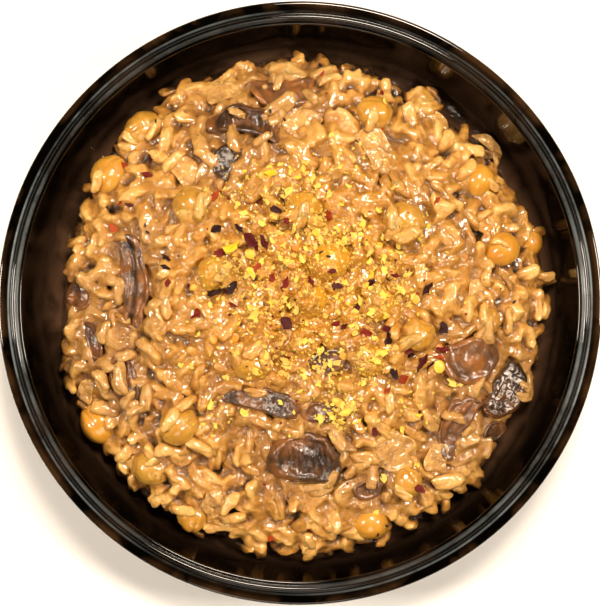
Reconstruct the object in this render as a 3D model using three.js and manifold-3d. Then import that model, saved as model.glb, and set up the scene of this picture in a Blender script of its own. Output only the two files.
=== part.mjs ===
// A serving of mushroom risotto with chickpeas, built together with its shallow black glass dish.
// Units are millimetres, +Z is up, and the origin is the middle of the dish's flat underside.

import * as THREE from "three";
import { mergeVertices } from "three/addons/utils/BufferGeometryUtils.js";
import Module from "manifold-3d";

const wasm = await Module();
wasm.setup();

// ---------------------------------------------------------------- driving dimensions

const GAP = 0.3; // clearance between pieces that touch
const SEED = 20260;

// the dish: a flat floor, a rounded corner, a nearly upright wall and a narrow lip
const RIM_RADIUS = 86;
const RIM_HEIGHT = 27;
const LIP_INNER_RADIUS = 79.2;
const LIP_DROP = 2;
const LIP_THICKNESS = 2.6;
const GLASS = 3; // thickness of the wall
const FLOOR = 4; // height of the inner floor
const CORNER_RADIUS = 6; // inner rounding between the floor and the wall
const WALL_FOOT_RADIUS = 76; // inner radius where that rounding meets the wall
const BASE_RADIUS = 60; // flat underside
const DISH_SIDES = 48;

// the heap of rice
const HEAP_FLOOR = FLOOR + GAP;
const HEAP_HEIGHT = 22.5; // middle of the heap above the dish's floor
const HEAP_EDGE = 3.5; // height of its steep edge
const HEAP_FULLNESS = 2.6; // how flat the top stays before it falls to the edge
const HEAP_UNDERCUT = 1.6; // how far the edge draws in where it meets the floor
const DRAPE_SHARE = 0.92; // slices follow the surface out to here, then fall evenly
const EDGE_FALL = 0.75;
const CORE_DROP = 0.9; // the core lies this much under the grains' mean surface
const CORE_SIDES = 40;
const CORE_RINGS = [0.16, 0.32, 0.46, 0.58, 0.69, 0.79, 0.87, 0.94, 0.98, 1];

// radius of the heap's edge every 15 degrees, anticlockwise from +X
const HEAP_RADII = [
  72.5, 72, 70.5, 69.5, 68.5, 72, 71.5, 72.5, 72, 70.5, 70.5, 68.5,
  70, 71.5, 70, 73, 73.5, 72.5, 74, 73.5, 73, 73, 70.5, 71.5,
];

// broad rises and hollows of the heap: [x, y, spread, height]
const SWELLS = [
  [6, 38, 13, 2.2],
  [32, 30, 12, 1.6],
  [-2, 8, 12, 1.8],
  [-34, -2, 9, 1.4],
  [18, -24, 10, 1.2],
  [-30, 24, 10, 1.2],
  [-20, -45, 5, -4.5],
  [-54, -4, 5, -2],
  [38, -40, 7, -1.5],
  [-22, -60, 7, 1.5],
];
const CLUMPS = 70; // small uneven clumps of rice
const CLUMP_SPREAD = [2.6, 4.4];
const CLUMP_HEIGHT = [-1.1, 1.3];

// a cooked grain and how many lie on the heap
const GRAIN = { length: 8, width: 3.6, height: 3, sides: 5, steps: 4 };
const GRAINS = 160;
const GRAIN_RISE = 1.2; // middle of a grain above the core
const GRAIN_TILT = 0.6;
const GRAIN_FULLNESS = 0.6; // below 1 the ends are blunt
const GRAIN_DROOP = 0.4; // how far its ends bend down
const EDGE_SHARE = 0.99; // the outermost grains lie this far out on the heap

const BEAK = 0.16; // a chickpea's beak stands out by this share of its radius
// chickpeas: [x, y, radius, height of the centre above the heap's surface, direction of the beak]
const CHICKPEAS = [
  [-44.7, 50.5, 5.8, -0.6, 200],
  [-55.3, 36.7, 6, -0.4, 60],
  [-31, 27.6, 5.6, 0.6, 300],
  [-24.3, 8.9, 5.2, 0.4, 250],
  [21.7, 54.4, 5.2, 1.2, 150],
  [35.7, 59.2, 4.4, -0.4, 120],
  [28.8, 23.2, 5.9, 1, 350],
  [8, 11.9, 5.6, 1.4, 10],
  [51.6, 35.7, 4.9, 0.6, 240],
  [58.3, 15.6, 5.1, 2, 215],
  [66.6, 17.4, 4.8, -3, 90],
  [-58.1, -35.4, 6.2, -1.4, 135],
  [-34.9, -35.2, 5.7, 0.8, 30],
  [-43.3, -47.6, 5.2, 0.4, 330],
  [-31.2, -61, 5, -1.4, 270],
  [30.8, -52.2, 4.7, 1.2, 100],
  [21.1, -63.6, 5.2, -0.4, 200],
  [-14.2, -16.4, 5.7, 0.8, 315],
  [32.9, -9.2, 4.9, 0.8, 20],
  [19.6, -17, 4.5, 0.8, 80],
  [3.5, 1.6, 4.5, 0.4, 265],
  [1.5, 27.1, 5, 0.2, 190],
  [22.9, -0.6, 5, 0.6, 180],
  [53.2, -5.6, 4.3, -0.6, 45],
];

// mushroom slices, draped on the heap:
// [x, y, length, width, thickness, turn in degrees, sideways bend, rise, waves along it]
const MUSHROOMS = [
  [-4.6, 61.6, 19, 9.6, 4.6, 4, -1.2, 0.5, 1],
  [-16.1, 50.6, 21, 8.4, 3.6, -9, 2.2, 1.2, 2],
  [-20.6, 40.6, 11, 7.4, 3.6, 62, 1.2, 0.6, 1],
  [-48.2, 6, 29, 8.2, 3.4, -86, 1, 0.4, 1],
  [-49.6, -21.4, 18.4, 8.2, 3.4, -82, -1.2, 0.4, 1],
  [-64.2, 2, 9, 8.4, 4, 80, 0, -1, 0],
  [-60.2, -11.8, 13.6, 4.2, 3, -78, 0.6, 0, 0],
  [48.6, -15.4, 17.6, 13.4, 4.6, 24, -1.2, 1.2, 1],
  [59.4, -25.4, 17.6, 10.4, 5, 62, -1, 1.4, 2],
  [46.4, -35, 22, 8.2, 4, 58, 2.2, 0.2, 1],
  [1.4, -45.4, 21.6, 14.6, 5.6, -12, 1.4, 0.8, 0],
  [-10.5, -28.4, 23, 6.6, 3, -12, 1, 0.4, 1],
  [6.6, -31.6, 13, 6.2, 3, -6, 0.6, 0.5, 0],
  [8.4, -16.4, 10.6, 7.6, 3, 20, 0, 0.4, 0],
  [19.4, -53.6, 8, 6.6, 3, 15, 0, 0.2, 0],
  [56.6, -37.2, 8, 5.4, 3.2, 30, 0, 0.6, 0],
];

// soft pieces of onion, thinner and wider: [x, y, length, width, turn in degrees, bend, rise]
const ONIONS = [
  [0.4, 51.6, 11, 8.4, 35, 0.6, 0.8],
  [20.6, 44.6, 12.6, 7.4, -65, 1.2, 0.9],
  [39.4, 52.8, 7.4, 4, -30, 0.6, 0.7],
  [27, -43.4, 12.6, 11.4, -20, 0.8, 1],
  [40, -44.8, 9.2, 6.2, 75, 0.6, 0.8],
  [-62, -25.6, 7.4, 5, 70, 0.4, 0.4],
  [-22.4, 61.6, 9.6, 7.4, 20, 0.6, 0.6],
  [-33.6, 37.6, 9, 7, -40, 0.8, 0.8],
  [50.4, 3.4, 7.4, 4.4, 80, 0.4, 0.8],
  [-24.4, -57.6, 8.4, 5.6, 60, 0.4, 0.6],
  [55.4, 45, 11, 3.6, -50, 1.4, 0.4],
];
const ONION_THICKNESS = 1.9;

// flakes that lie on the rice: [x, y, length, turn in degrees]
const YEAST_FLAKES = [
  [-17.8, 14.6, 6, 20],
  [-13.6, 4, 5, 80],
  [0.8, 36, 6, 110],
  [-8.6, 32.4, 5, 30],
  [12.6, 19.4, 5.4, 50],
  [25, 8.8, 5.4, 140],
  [16.4, 0.6, 4.6, 100],
  [-5.4, -17.6, 7, 70],
  [10.4, -28.6, 6, 15],
  [21.8, -22.4, 4.6, 60],
  [38.4, 3.4, 4, 10],
];
const CHILLI_FLAKES = [
  [-43, 38.8, 4, 100],
  [-52, 21.8, 3.6, 60],
  [-36.8, 11.4, 4, 30],
  [-28.2, -2.6, 3.8, 75],
  [-18.8, 20.4, 4.2, 110],
  [-9.8, 16.4, 5.4, 150],
  [-3.6, 22.8, 3.4, 20],
  [-11.4, 10.2, 3.4, 95],
  [-4.2, -5.2, 4.6, 10],
  [10, 9.6, 3.4, 60],
  [34.6, 4.4, 4.6, 40],
  [40.2, -7.8, 4, 0],
  [33.8, -17.4, 5, 125],
  [24.6, -6.8, 3.6, 70],
  [24, -24.6, 4, 35],
  [33.4, -52, 3.6, 90],
];
const FLAKE_THICKNESS = 1.2;
const FLAKE_SLIMNESS = 0.72; // width of a flake for its length

const COLOURS = {
  dish: { color: 0x14110f, roughness: 0.06, metalness: 0 },
  rice: { color: 0xd8a768, roughness: 0.4, metalness: 0 },
  chickpea: { color: 0xdfa14a, roughness: 0.35, metalness: 0 },
  mushroom: { color: 0x6f4f3e, roughness: 0.3, metalness: 0 },
  onion: { color: 0xd9b184, roughness: 0.3, metalness: 0 },
};

// ---------------------------------------------------------------- helpers

const radians = THREE.MathUtils.degToRad;
const lerp = THREE.MathUtils.lerp;

// repeatable random numbers from 0 to 1
function seededRandom(seed) {
  let state = seed;
  return () => {
    state = (state + 0x6d2b79f5) | 0;
    let t = Math.imul(state ^ (state >>> 15), 1 | state);
    t = (t + Math.imul(t ^ (t >>> 7), 61 | t)) ^ t;
    return ((t ^ (t >>> 14)) >>> 0) / 4294967296;
  };
}
const random = seededRandom(SEED);

// one closed solid from a geometry: shared vertices merged, slivers of no area dropped
function toSolid(geometry) {
  const bare = new THREE.BufferGeometry();
  bare.setAttribute("position", geometry.attributes.position);
  bare.setIndex(geometry.index);
  const merged = mergeVertices(bare, 1e-4);
  const corners = merged.index.array;
  const kept = [];
  for (let i = 0; i < corners.length; i += 3) {
    const [a, b, c] = [corners[i], corners[i + 1], corners[i + 2]];
    if (a !== b && b !== c && c !== a) {
      kept.push(a, b, c);
    }
  }
  return new wasm.Manifold(new wasm.Mesh({
    numProp: 3,
    vertProperties: merged.attributes.position.array,
    triVerts: new Uint32Array(kept),
  }));
}

// back to a geometry for a THREE.Mesh
function toGeometry(solid) {
  const { numProp, vertProperties, triVerts } = solid.getMesh();
  const positions = new Float32Array((vertProperties.length / numProp) * 3);
  for (let i = 0; i < positions.length / 3; i += 1) {
    positions.set(vertProperties.slice(i * numProp, i * numProp + 3), i * 3);
  }
  const geometry = new THREE.BufferGeometry();
  geometry.setAttribute("position", new THREE.BufferAttribute(positions, 3));
  geometry.setIndex([...triVerts]);
  geometry.computeVertexNormals();
  return geometry;
}

// the largest piece of a solid that a cut may have left in parts
function largestPiece(solid) {
  const pieces = solid.decompose();
  return pieces.reduce((best, piece) => (piece.volume() > best.volume() ? piece : best));
}

// a ball with its poles on the X axis, each vertex then moved by a function
function shapedBall(sides, steps, place) {
  const ball = new THREE.SphereGeometry(1, sides, steps);
  ball.rotateZ(-Math.PI / 2);
  const position = ball.attributes.position;
  const point = new THREE.Vector3();
  for (let i = 0; i < position.count; i += 1) {
    point.fromBufferAttribute(position, i);
    position.setXYZ(i, ...place(point));
  }
  return ball;
}

const blunt = (value, power) => Math.sign(value) * Math.abs(value) ** power;

// ---------------------------------------------------------------- the dish

// inner line of the dish from the middle of its floor to the lip, drawn in by inset
function innerLine(inset) {
  const line = [new THREE.Vector2(0, FLOOR + inset)];
  const cornerX = WALL_FOOT_RADIUS - CORNER_RADIUS;
  const steps = 3;
  for (let i = 0; i <= steps; i += 1) {
    const angle = lerp(-90, -8, i / steps);
    const reach = CORNER_RADIUS - inset;
    line.push(new THREE.Vector2(
      cornerX + reach * Math.cos(radians(angle)),
      FLOOR + CORNER_RADIUS + reach * Math.sin(radians(angle)),
    ));
  }
  line.push(new THREE.Vector2(LIP_INNER_RADIUS - inset, RIM_HEIGHT - LIP_DROP));
  return line;
}

function dishGeometry() {
  const lipMiddle = LIP_INNER_RADIUS + 2;
  const outerWall = LIP_INNER_RADIUS + GLASS;
  const profile = [
    ...innerLine(0),
    new THREE.Vector2(LIP_INNER_RADIUS + 0.8, RIM_HEIGHT - 0.5),
    new THREE.Vector2(lipMiddle, RIM_HEIGHT),
    new THREE.Vector2(RIM_RADIUS - 1, RIM_HEIGHT - 1),
    new THREE.Vector2(RIM_RADIUS, RIM_HEIGHT - 1.8),
    new THREE.Vector2(RIM_RADIUS - 0.4, RIM_HEIGHT - LIP_THICKNESS - 0.6),
    new THREE.Vector2(outerWall + 0.4, RIM_HEIGHT - LIP_THICKNESS - 1.4),
    new THREE.Vector2(outerWall - 1.2, FLOOR + CORNER_RADIUS + 4),
    new THREE.Vector2(outerWall - 4, FLOOR + 2.4),
    new THREE.Vector2(outerWall - 10, 1.6),
    new THREE.Vector2(BASE_RADIUS, 0),
    new THREE.Vector2(0, 0),
  ];
  // the profile runs from the inside over the lip to the underside, so it is turned round
  return new THREE.LatheGeometry(profile.reverse(), DISH_SIDES).rotateX(Math.PI / 2);
}

// the space in the dish that food may fill, GAP clear of the glass
function dishSpace() {
  const line = innerLine(GAP * 1.4);
  const open = new THREE.Vector2(LIP_INNER_RADIUS - GAP, RIM_HEIGHT * 2);
  const profile = [...line, open, new THREE.Vector2(0, open.y)];
  return toSolid(new THREE.LatheGeometry(profile, DISH_SIDES).rotateX(Math.PI / 2));
}

// ---------------------------------------------------------------- the heap's surface

function heapRadius(angle) {
  const step = (2 * Math.PI) / HEAP_RADII.length;
  const turns = (angle / step + HEAP_RADII.length * 2) % HEAP_RADII.length;
  const low = Math.floor(turns);
  const blend = THREE.MathUtils.smoothstep(turns - low, 0, 1);
  return lerp(HEAP_RADII[low], HEAP_RADII[(low + 1) % HEAP_RADII.length], blend);
}

const clumps = Array.from({ length: CLUMPS }, () => {
  const angle = random() * 2 * Math.PI;
  const reach = Math.sqrt(random()) * 68;
  return [
    reach * Math.cos(angle),
    reach * Math.sin(angle),
    lerp(...CLUMP_SPREAD, random()),
    lerp(...CLUMP_HEIGHT, random()),
  ];
});

// height of the heap's mean surface over a point of the floor
function surfaceHeight(x, y) {
  const share = Math.min(1, Math.hypot(x, y) / heapRadius(Math.atan2(y, x)));
  const dome = Math.sqrt(1 - share ** HEAP_FULLNESS);
  let height = HEAP_EDGE + (HEAP_HEIGHT - HEAP_EDGE) * dome;
  for (const [cx, cy, spread, rise] of [...SWELLS, ...clumps]) {
    const distance = ((x - cx) ** 2 + (y - cy) ** 2) / (2 * spread ** 2);
    height += rise * Math.exp(-distance) * Math.min(1, dome * 1.6);
  }
  return HEAP_FLOOR + height;
}

// height that a soft slice follows: the surface, with an even fall where the edge turns steep
function drapeHeight(x, y) {
  const reach = Math.hypot(x, y);
  const steepFrom = DRAPE_SHARE * heapRadius(Math.atan2(y, x));
  if (reach <= steepFrom) {
    return surfaceHeight(x, y);
  }
  const pull = steepFrom / reach;
  return surfaceHeight(x * pull, y * pull) - EDGE_FALL * (reach - steepFrom);
}

function surfaceNormal(x, y) {
  const step = 1.5;
  const slopeX = surfaceHeight(x + step, y) - surfaceHeight(x - step, y);
  const slopeY = surfaceHeight(x, y + step) - surfaceHeight(x, y - step);
  return new THREE.Vector3(-slopeX, -slopeY, 2 * step).normalize();
}

// the heap without its loose grains: rings from the middle to the edge, closed by a flat bottom
function heapCore() {
  const positions = [0, 0, surfaceHeight(0, 0) - CORE_DROP];
  const index = [];
  const rings = [...CORE_RINGS, "bottom"];
  rings.forEach((ring) => {
    for (let i = 0; i < CORE_SIDES; i += 1) {
      const angle = (2 * Math.PI * i) / CORE_SIDES;
      const edge = heapRadius(angle);
      const reach = ring === "bottom" ? edge - HEAP_UNDERCUT : edge * ring;
      const [x, y] = [reach * Math.cos(angle), reach * Math.sin(angle)];
      const z = ring === "bottom" ? HEAP_FLOOR : surfaceHeight(x, y) - CORE_DROP;
      positions.push(x, y, z);
    }
  });
  const lastMiddle = positions.length / 3;
  positions.push(0, 0, HEAP_FLOOR);
  for (let i = 0; i < CORE_SIDES; i += 1) {
    const next = (i + 1) % CORE_SIDES;
    index.push(0, 1 + i, 1 + next);
    for (let ring = 0; ring < rings.length - 1; ring += 1) {
      const inner = 1 + ring * CORE_SIDES;
      const outer = inner + CORE_SIDES;
      index.push(inner + i, outer + i, outer + next, inner + i, outer + next, inner + next);
    }
    const bottom = 1 + (rings.length - 1) * CORE_SIDES;
    index.push(bottom + i, lastMiddle, bottom + next);
  }
  const geometry = new THREE.BufferGeometry();
  geometry.setAttribute("position", new THREE.Float32BufferAttribute(positions, 3));
  geometry.setIndex(index);
  return toSolid(geometry);
}

// ---------------------------------------------------------------- toppings

// a chickpea: a ball slightly squeezed from the sides, with a beak; grow makes it larger all over
function chickpea([x, y, radius, rise, beakTurn], grow) {
  const [cosine, sine] = [Math.cos(radians(beakTurn)), Math.sin(radians(beakTurn))];
  const lowest = HEAP_FLOOR + radius + GAP;
  const height = Math.max(lowest, surfaceHeight(x, y) + rise);
  const ball = shapedBall(8, 5, (point) => {
    const towards = Math.max(0, point.x);
    const reach = radius * (1 + BEAK * towards ** 6) + grow;
    return [
      x + (point.x * cosine - point.y * sine) * reach,
      y + (point.x * sine + point.y * cosine) * reach,
      height + point.z * reach,
    ];
  });
  return toSolid(ball);
}

// a soft slice that follows the heap's surface
function drapedSlice({ x, y, length, width, thickness, turn, bend, rise, waves }, grow, sides, steps) {
  const [cosine, sine] = [Math.cos(radians(turn)), Math.sin(radians(turn))];
  const slice = shapedBall(sides, steps, (point) => {
    const along = blunt(point.x, 0.85) * (length / 2 + grow);
    const middle = bend * (1 - 2 * point.x ** 2);
    const across = blunt(point.y, 0.85) * (width / 2 + grow) + middle;
    const wave = 0.16 * thickness * Math.sin(waves * Math.PI * point.x * 1.5);
    const worldX = x + along * cosine - across * sine;
    const worldY = y + along * sine + across * cosine;
    const lift = blunt(point.z, 0.8) * (thickness / 2 + grow) + wave;
    return [worldX, worldY, drapeHeight(worldX, worldY) + rise + lift];
  });
  return toSolid(slice);
}

function mushroom([x, y, length, width, thickness, turn, bend, rise, waves], grow) {
  return drapedSlice({ x, y, length, width, thickness, turn, bend, rise, waves }, grow, 7, 6);
}

function onion([x, y, length, width, turn, bend, rise], grow) {
  const thickness = ONION_THICKNESS;
  return drapedSlice({ x, y, length, width, thickness, turn, bend, rise, waves: 0 }, grow, 5, 5);
}

// a grain of rice on the heap, tilted with it
function grain(x, y, turn, tilt, scale) {
  const facing = new THREE.Quaternion().setFromUnitVectors(
    new THREE.Vector3(0, 0, 1),
    surfaceNormal(x, y),
  );
  const lying = new THREE.Quaternion().setFromEuler(new THREE.Euler(0, tilt, turn, "ZYX"));
  const centre = new THREE.Vector3(x, y, surfaceHeight(x, y) - CORE_DROP + GRAIN_RISE);
  const body = shapedBall(GRAIN.sides, GRAIN.steps, (point) => {
    const girth = Math.max(1e-6, Math.hypot(point.y, point.z)) ** (GRAIN_FULLNESS - 1);
    const placed = new THREE.Vector3(
      (point.x * GRAIN.length * scale) / 2,
      (point.y * girth * GRAIN.width * scale) / 2,
      (point.z * girth * GRAIN.height * scale) / 2 - GRAIN_DROOP * point.x ** 2,
    );
    placed.applyQuaternion(lying).applyQuaternion(facing).add(centre);
    return [placed.x, placed.y, placed.z];
  });
  return toSolid(body);
}

// a flake: a small flat plate with five uneven corners, pressed into the rice
function flake([x, y, length, turn]) {
  const outline = new THREE.Shape();
  const corners = 5;
  for (let i = 0; i < corners; i += 1) {
    const angle = (2 * Math.PI * i) / corners;
    const reach = (length / 2) * (0.85 + 0.3 * random());
    const [alongX, alongY] = [reach * Math.cos(angle), reach * Math.sin(angle) * FLAKE_SLIMNESS];
    if (i === 0) {
      outline.moveTo(alongX, alongY);
    } else {
      outline.lineTo(alongX, alongY);
    }
  }
  outline.closePath();
  const depth = FLAKE_THICKNESS + CORE_DROP;
  const plate = new THREE.ExtrudeGeometry(outline, { depth, bevelEnabled: false });
  plate.rotateZ(radians(turn));
  plate.translate(0, 0, -CORE_DROP);
  plate.applyQuaternion(new THREE.Quaternion().setFromUnitVectors(
    new THREE.Vector3(0, 0, 1),
    surfaceNormal(x, y),
  ));
  plate.translate(x, y, surfaceHeight(x, y) - 0.4);
  return toSolid(mergeVertices(plate.deleteAttribute("uv").deleteAttribute("normal")));
}

// ---------------------------------------------------------------- putting it together

const group = new THREE.Group();

function addPiece(name, solid, look) {
  const mesh = new THREE.Mesh(toGeometry(solid), new THREE.MeshStandardMaterial(look));
  mesh.name = name;
  group.add(mesh);
}

const numbered = (name, i) => `${name}_${String(i + 1).padStart(2, "0")}`;

addPiece("bowl", toSolid(dishGeometry()), COLOURS.dish);

// chickpeas are whole; slices give way to them, and onion gives way to both
const space = dishSpace();
let taken = null; // room held by the toppings so far, GAP larger than they are
const takeRoom = (room) => {
  taken = taken === null ? room : taken.add(room);
};

for (const [i, row] of CHICKPEAS.entries()) {
  addPiece(numbered("chickpea", i), chickpea(row, 0), COLOURS.chickpea);
}
for (const row of CHICKPEAS) {
  takeRoom(chickpea(row, GAP));
}
for (const [i, row] of MUSHROOMS.entries()) {
  const piece = largestPiece(mushroom(row, 0).subtract(taken).intersect(space));
  addPiece(numbered("mushroom", i), piece, COLOURS.mushroom);
  takeRoom(mushroom(row, GAP));
}
for (const [i, row] of ONIONS.entries()) {
  const piece = largestPiece(onion(row, 0).subtract(taken).intersect(space));
  addPiece(numbered("onion", i), piece, COLOURS.onion);
  takeRoom(onion(row, GAP));
}

// the rice: its core, then grains spread over it in a sunflower spiral, then the flakes
const room = space.subtract(taken);
let risotto = heapCore().intersect(room);
const fits = (piece) => piece.subtract(room).volume() < 1e-6;
const goldenAngle = Math.PI * (3 - Math.sqrt(5));
for (let i = 0; i < GRAINS; i += 1) {
  const share = EDGE_SHARE * Math.sqrt((i + 0.5) / GRAINS);
  const angle = i * goldenAngle;
  const reach = share * heapRadius(Math.atan2(Math.sin(angle), Math.cos(angle)));
  const [x, y] = [reach * Math.cos(angle), reach * Math.sin(angle)];
  const turn = random() * 2 * Math.PI;
  const tilt = (random() - 0.5) * GRAIN_TILT;
  const piece = grain(x, y, turn, tilt, lerp(0.85, 1.05, random()));
  if (fits(piece)) {
    risotto = risotto.add(piece);
  }
}
for (const row of [...YEAST_FLAKES, ...CHILLI_FLAKES]) {
  const piece = flake(row);
  if (fits(piece)) {
    risotto = risotto.add(piece);
  }
}
addPiece("risotto", largestPiece(risotto), COLOURS.rice);

export default group;
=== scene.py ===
# %% [markdown]
# # Mushroom risotto in a shallow black dish
# This lesson dresses a plain model of a meal. The model, loaded first, holds every piece at its real
# size and place: the dish, the heap of rice, the chickpeas, the mushroom slices and the onion. Each of
# them gets a finer mesh and a real finish here, and nothing is moved.

# %% Load the model and keep its box
import math
import bmesh
import bpy
import numpy as np
from mathutils import Matrix, Vector, noise
from mathutils.bvhtree import BVHTree


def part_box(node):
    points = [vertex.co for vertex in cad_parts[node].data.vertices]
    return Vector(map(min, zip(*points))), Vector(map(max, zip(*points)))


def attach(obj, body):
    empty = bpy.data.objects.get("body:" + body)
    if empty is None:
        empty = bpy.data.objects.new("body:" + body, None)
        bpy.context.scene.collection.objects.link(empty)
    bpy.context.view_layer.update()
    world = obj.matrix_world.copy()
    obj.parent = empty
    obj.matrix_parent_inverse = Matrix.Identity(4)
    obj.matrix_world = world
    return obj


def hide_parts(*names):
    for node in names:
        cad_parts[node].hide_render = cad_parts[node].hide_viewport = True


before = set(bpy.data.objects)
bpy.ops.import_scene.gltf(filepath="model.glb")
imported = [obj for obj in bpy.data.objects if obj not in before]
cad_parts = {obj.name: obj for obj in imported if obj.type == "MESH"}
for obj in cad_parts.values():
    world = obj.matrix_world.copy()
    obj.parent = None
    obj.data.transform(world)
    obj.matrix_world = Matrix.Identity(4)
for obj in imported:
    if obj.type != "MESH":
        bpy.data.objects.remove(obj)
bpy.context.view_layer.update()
nodes = sorted(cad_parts)
BODY = "root"

# %% [markdown]
# ## Units and small helpers
# The sizes below are given in millimetres, because that is how a cook's ruler reads, and Blender works
# in metres. One factor turns one into the other. Colours are written as the hex values that a screen
# shows, and one function turns them into the linear values that a renderer adds up.

# %% Units, colours and numbers
MM = 0.001


def linear(hex_colour):
    """The linear colour of an sRGB hex value."""
    parts = [int(hex_colour[i:i + 2], 16) / 255 for i in (1, 3, 5)]
    return [p / 12.92 if p <= 0.04045 else ((p + 0.055) / 1.055) ** 2.4 for p in parts] + [1.0]


def blend(a, b, share):
    """A value between a and b, at this share of the way."""
    return a + (b - a) * share


def smooth_step(value):
    """From 0 to 1 with no sudden start or end."""
    value = np.clip(value, 0, 1)
    return value * value * (3 - 2 * value)


def blunt(value, power):
    """A ball's coordinate made blunter, like a box's, by a power below 1."""
    return np.sign(value) * np.abs(value) ** power


print("linear mid grey:", round(linear("#808080")[0], 3))

# %% [markdown]
# ## The heap's surface
# Risotto settles into a low dome with a steep edge, broken by broad swells and by small clumps. A
# height for every point of the dish's floor describes that form, so one function serves the rice, the
# slices that lie on it and the flakes on top. The clumps are drawn with a small repeatable generator.

# %% Sizes of the dish and of the heap, in millimetres
RIM_RADIUS = 86
RIM_HEIGHT = 27
LIP_INNER_RADIUS = 79.2
GLASS = 3  # thickness of the wall
FLOOR = 4
CORNER_RADIUS = 6
WALL_FOOT_RADIUS = 76
BASE_RADIUS = 60
HEAP_FLOOR = FLOOR + 0.3
HEAP_HEIGHT = 22.5
HEAP_EDGE = 3.5
HEAP_FULLNESS = 2.6  # a higher power keeps the dome's top wider
HEAP_RADII = [
    72.5, 72, 70.5, 69.5, 68.5, 72, 71.5, 72.5, 72, 70.5, 70.5, 68.5,
    70, 71.5, 70, 73, 73.5, 72.5, 74, 73.5, 73, 73, 70.5, 71.5,
]  # radius of the edge every 15 degrees, anticlockwise from +X
SWELLS = [
    (6, 38, 13, 2.2), (32, 30, 12, 1.6), (-2, 8, 12, 1.8), (-34, -2, 9, 1.4), (18, -24, 10, 1.2),
    (-30, 24, 10, 1.2), (-20, -45, 5, -4.5), (-54, -4, 5, -2), (38, -40, 7, -1.5), (-22, -60, 7, 1.5),
]  # x, y, spread, height
CLUMPS = 70
CLUMP_SEED = 20260
CLUMP_REACH = 68
CLUMP_SPREADS = 2.6, 4.4
CLUMP_RISES = -1.1, 1.3
DRAPE_SHARE = 0.92  # of the heap's radius, from where a soft slice stops following the steep edge
EDGE_FALL = 0.75  # how much such a slice falls for each millimetre further out
STEEPEST = 1.6  # slope past which a grain no longer leans further


# %% A repeatable generator for the clumps
def mulberry(seed):
    """Repeatable numbers from 0 to 1, by 32-bit mixing."""
    numbers = 2 ** 32
    word = numbers - 1
    state = seed
    while True:
        state = (state + 0x6D2B79F5) & word
        t = ((state ^ (state >> 15)) * (1 | state)) & word
        t = ((t + (((t ^ (t >> 7)) * (61 | t)) & word)) & word) ^ t
        yield (t ^ (t >> 14)) / numbers


def draw_clumps():
    """Small random clumps and hollows, as rows of x, y, spread and height."""
    draw = mulberry(CLUMP_SEED)
    rows = []
    for _ in range(CLUMPS):
        angle = next(draw) * 2 * math.pi
        reach = math.sqrt(next(draw)) * CLUMP_REACH
        spread = blend(*CLUMP_SPREADS, next(draw))
        rise = blend(*CLUMP_RISES, next(draw))
        rows.append((reach * math.cos(angle), reach * math.sin(angle), spread, rise))
    return rows


BUMPS = np.array(SWELLS + draw_clumps())
print("first clump:", np.round(BUMPS[len(SWELLS)], 2))


# %% Radius and height of the heap
def heap_radius(angle):
    """Radius of the heap's edge at an angle, eased from one given radius to the next."""
    step = 2 * math.pi / len(HEAP_RADII)
    turns = np.mod(np.asarray(angle) / step, len(HEAP_RADII))
    low = np.floor(turns).astype(int) % len(HEAP_RADII)
    radii = np.array(HEAP_RADII, float)
    return blend(radii[low], radii[(low + 1) % len(HEAP_RADII)], smooth_step(turns - np.floor(turns)))


def surface_height(x, y):
    """Height of the rice's mean surface over points of the floor, in millimetres."""
    x, y = np.asarray(x, float), np.asarray(y, float)
    share = np.clip(np.hypot(x, y) / heap_radius(np.arctan2(y, x)), 0, 1)
    dome = np.sqrt(1 - share ** HEAP_FULLNESS)
    height = HEAP_EDGE + (HEAP_HEIGHT - HEAP_EDGE) * dome
    fade = np.minimum(1, dome * 1.6)  # no swell or clump shows at the very edge
    for cx, cy, spread, rise in BUMPS:
        height = height + rise * np.exp(-((x - cx) ** 2 + (y - cy) ** 2) / (2 * spread ** 2)) * fade
    return HEAP_FLOOR + height


def drape_height(x, y):
    """The height that a soft slice follows: it falls evenly where the edge turns steep."""
    x, y = np.asarray(x, float), np.asarray(y, float)
    reach = np.maximum(np.hypot(x, y), 1e-6)
    steep_from = DRAPE_SHARE * heap_radius(np.arctan2(y, x))
    pull = np.minimum(1, steep_from / reach)
    return surface_height(x * pull, y * pull) - EDGE_FALL * np.maximum(0, reach - steep_from)


def surface_normals(x, y):
    """Unit normals of the mean surface, kept from lying flat at the steep edge."""
    step = 1.5
    slope_x = (surface_height(x + step, y) - surface_height(x - step, y)) / (2 * step)
    slope_y = (surface_height(x, y + step) - surface_height(x, y - step)) / (2 * step)
    slopes = np.clip([slope_x, slope_y], -STEEPEST, STEEPEST)
    return [Vector((-a, -b, 1)).normalized() for a, b in slopes.T]


print("height in the middle:", round(float(surface_height(0, 0)), 2), "mm")

# %% [markdown]
# ## Making meshes
# Nearly every piece is a grid of points bent into shape by arithmetic: rings of points between two
# poles, as on a globe. One helper joins such rings with faces, one makes a ball of them, and one turns
# points and faces into an object. Points come in millimetres and are stored in metres, so the object
# itself stays at the origin.


# %% Mesh helpers
def make_object(name, points, faces, material=None, smooth=True):
    """A mesh object from points in millimetres."""
    mesh = bpy.data.meshes.new(name)
    mesh.from_pydata((np.asarray(points, float) * MM).tolist(), [], faces)
    piece = bpy.data.objects.new(name, mesh)
    bpy.context.scene.collection.objects.link(piece)
    if material:
        mesh.materials.append(material)
    mesh.polygons.foreach_set("use_smooth", [smooth] * len(mesh.polygons))
    return piece


def ring_faces(rings, sides):
    """Faces over a pole (the first point), rings of this many points and a pole (the last point)."""
    last = 1 + rings * sides
    faces = []
    for j in range(sides):
        k = (j + 1) % sides
        faces.append((0, 1 + j, 1 + k))
        for a in range(1, last - sides, sides):
            faces.append((a + j, a + sides + j, a + sides + k, a + k))
        faces.append((last - sides + j, last, last - sides + k))
    return faces


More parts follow.
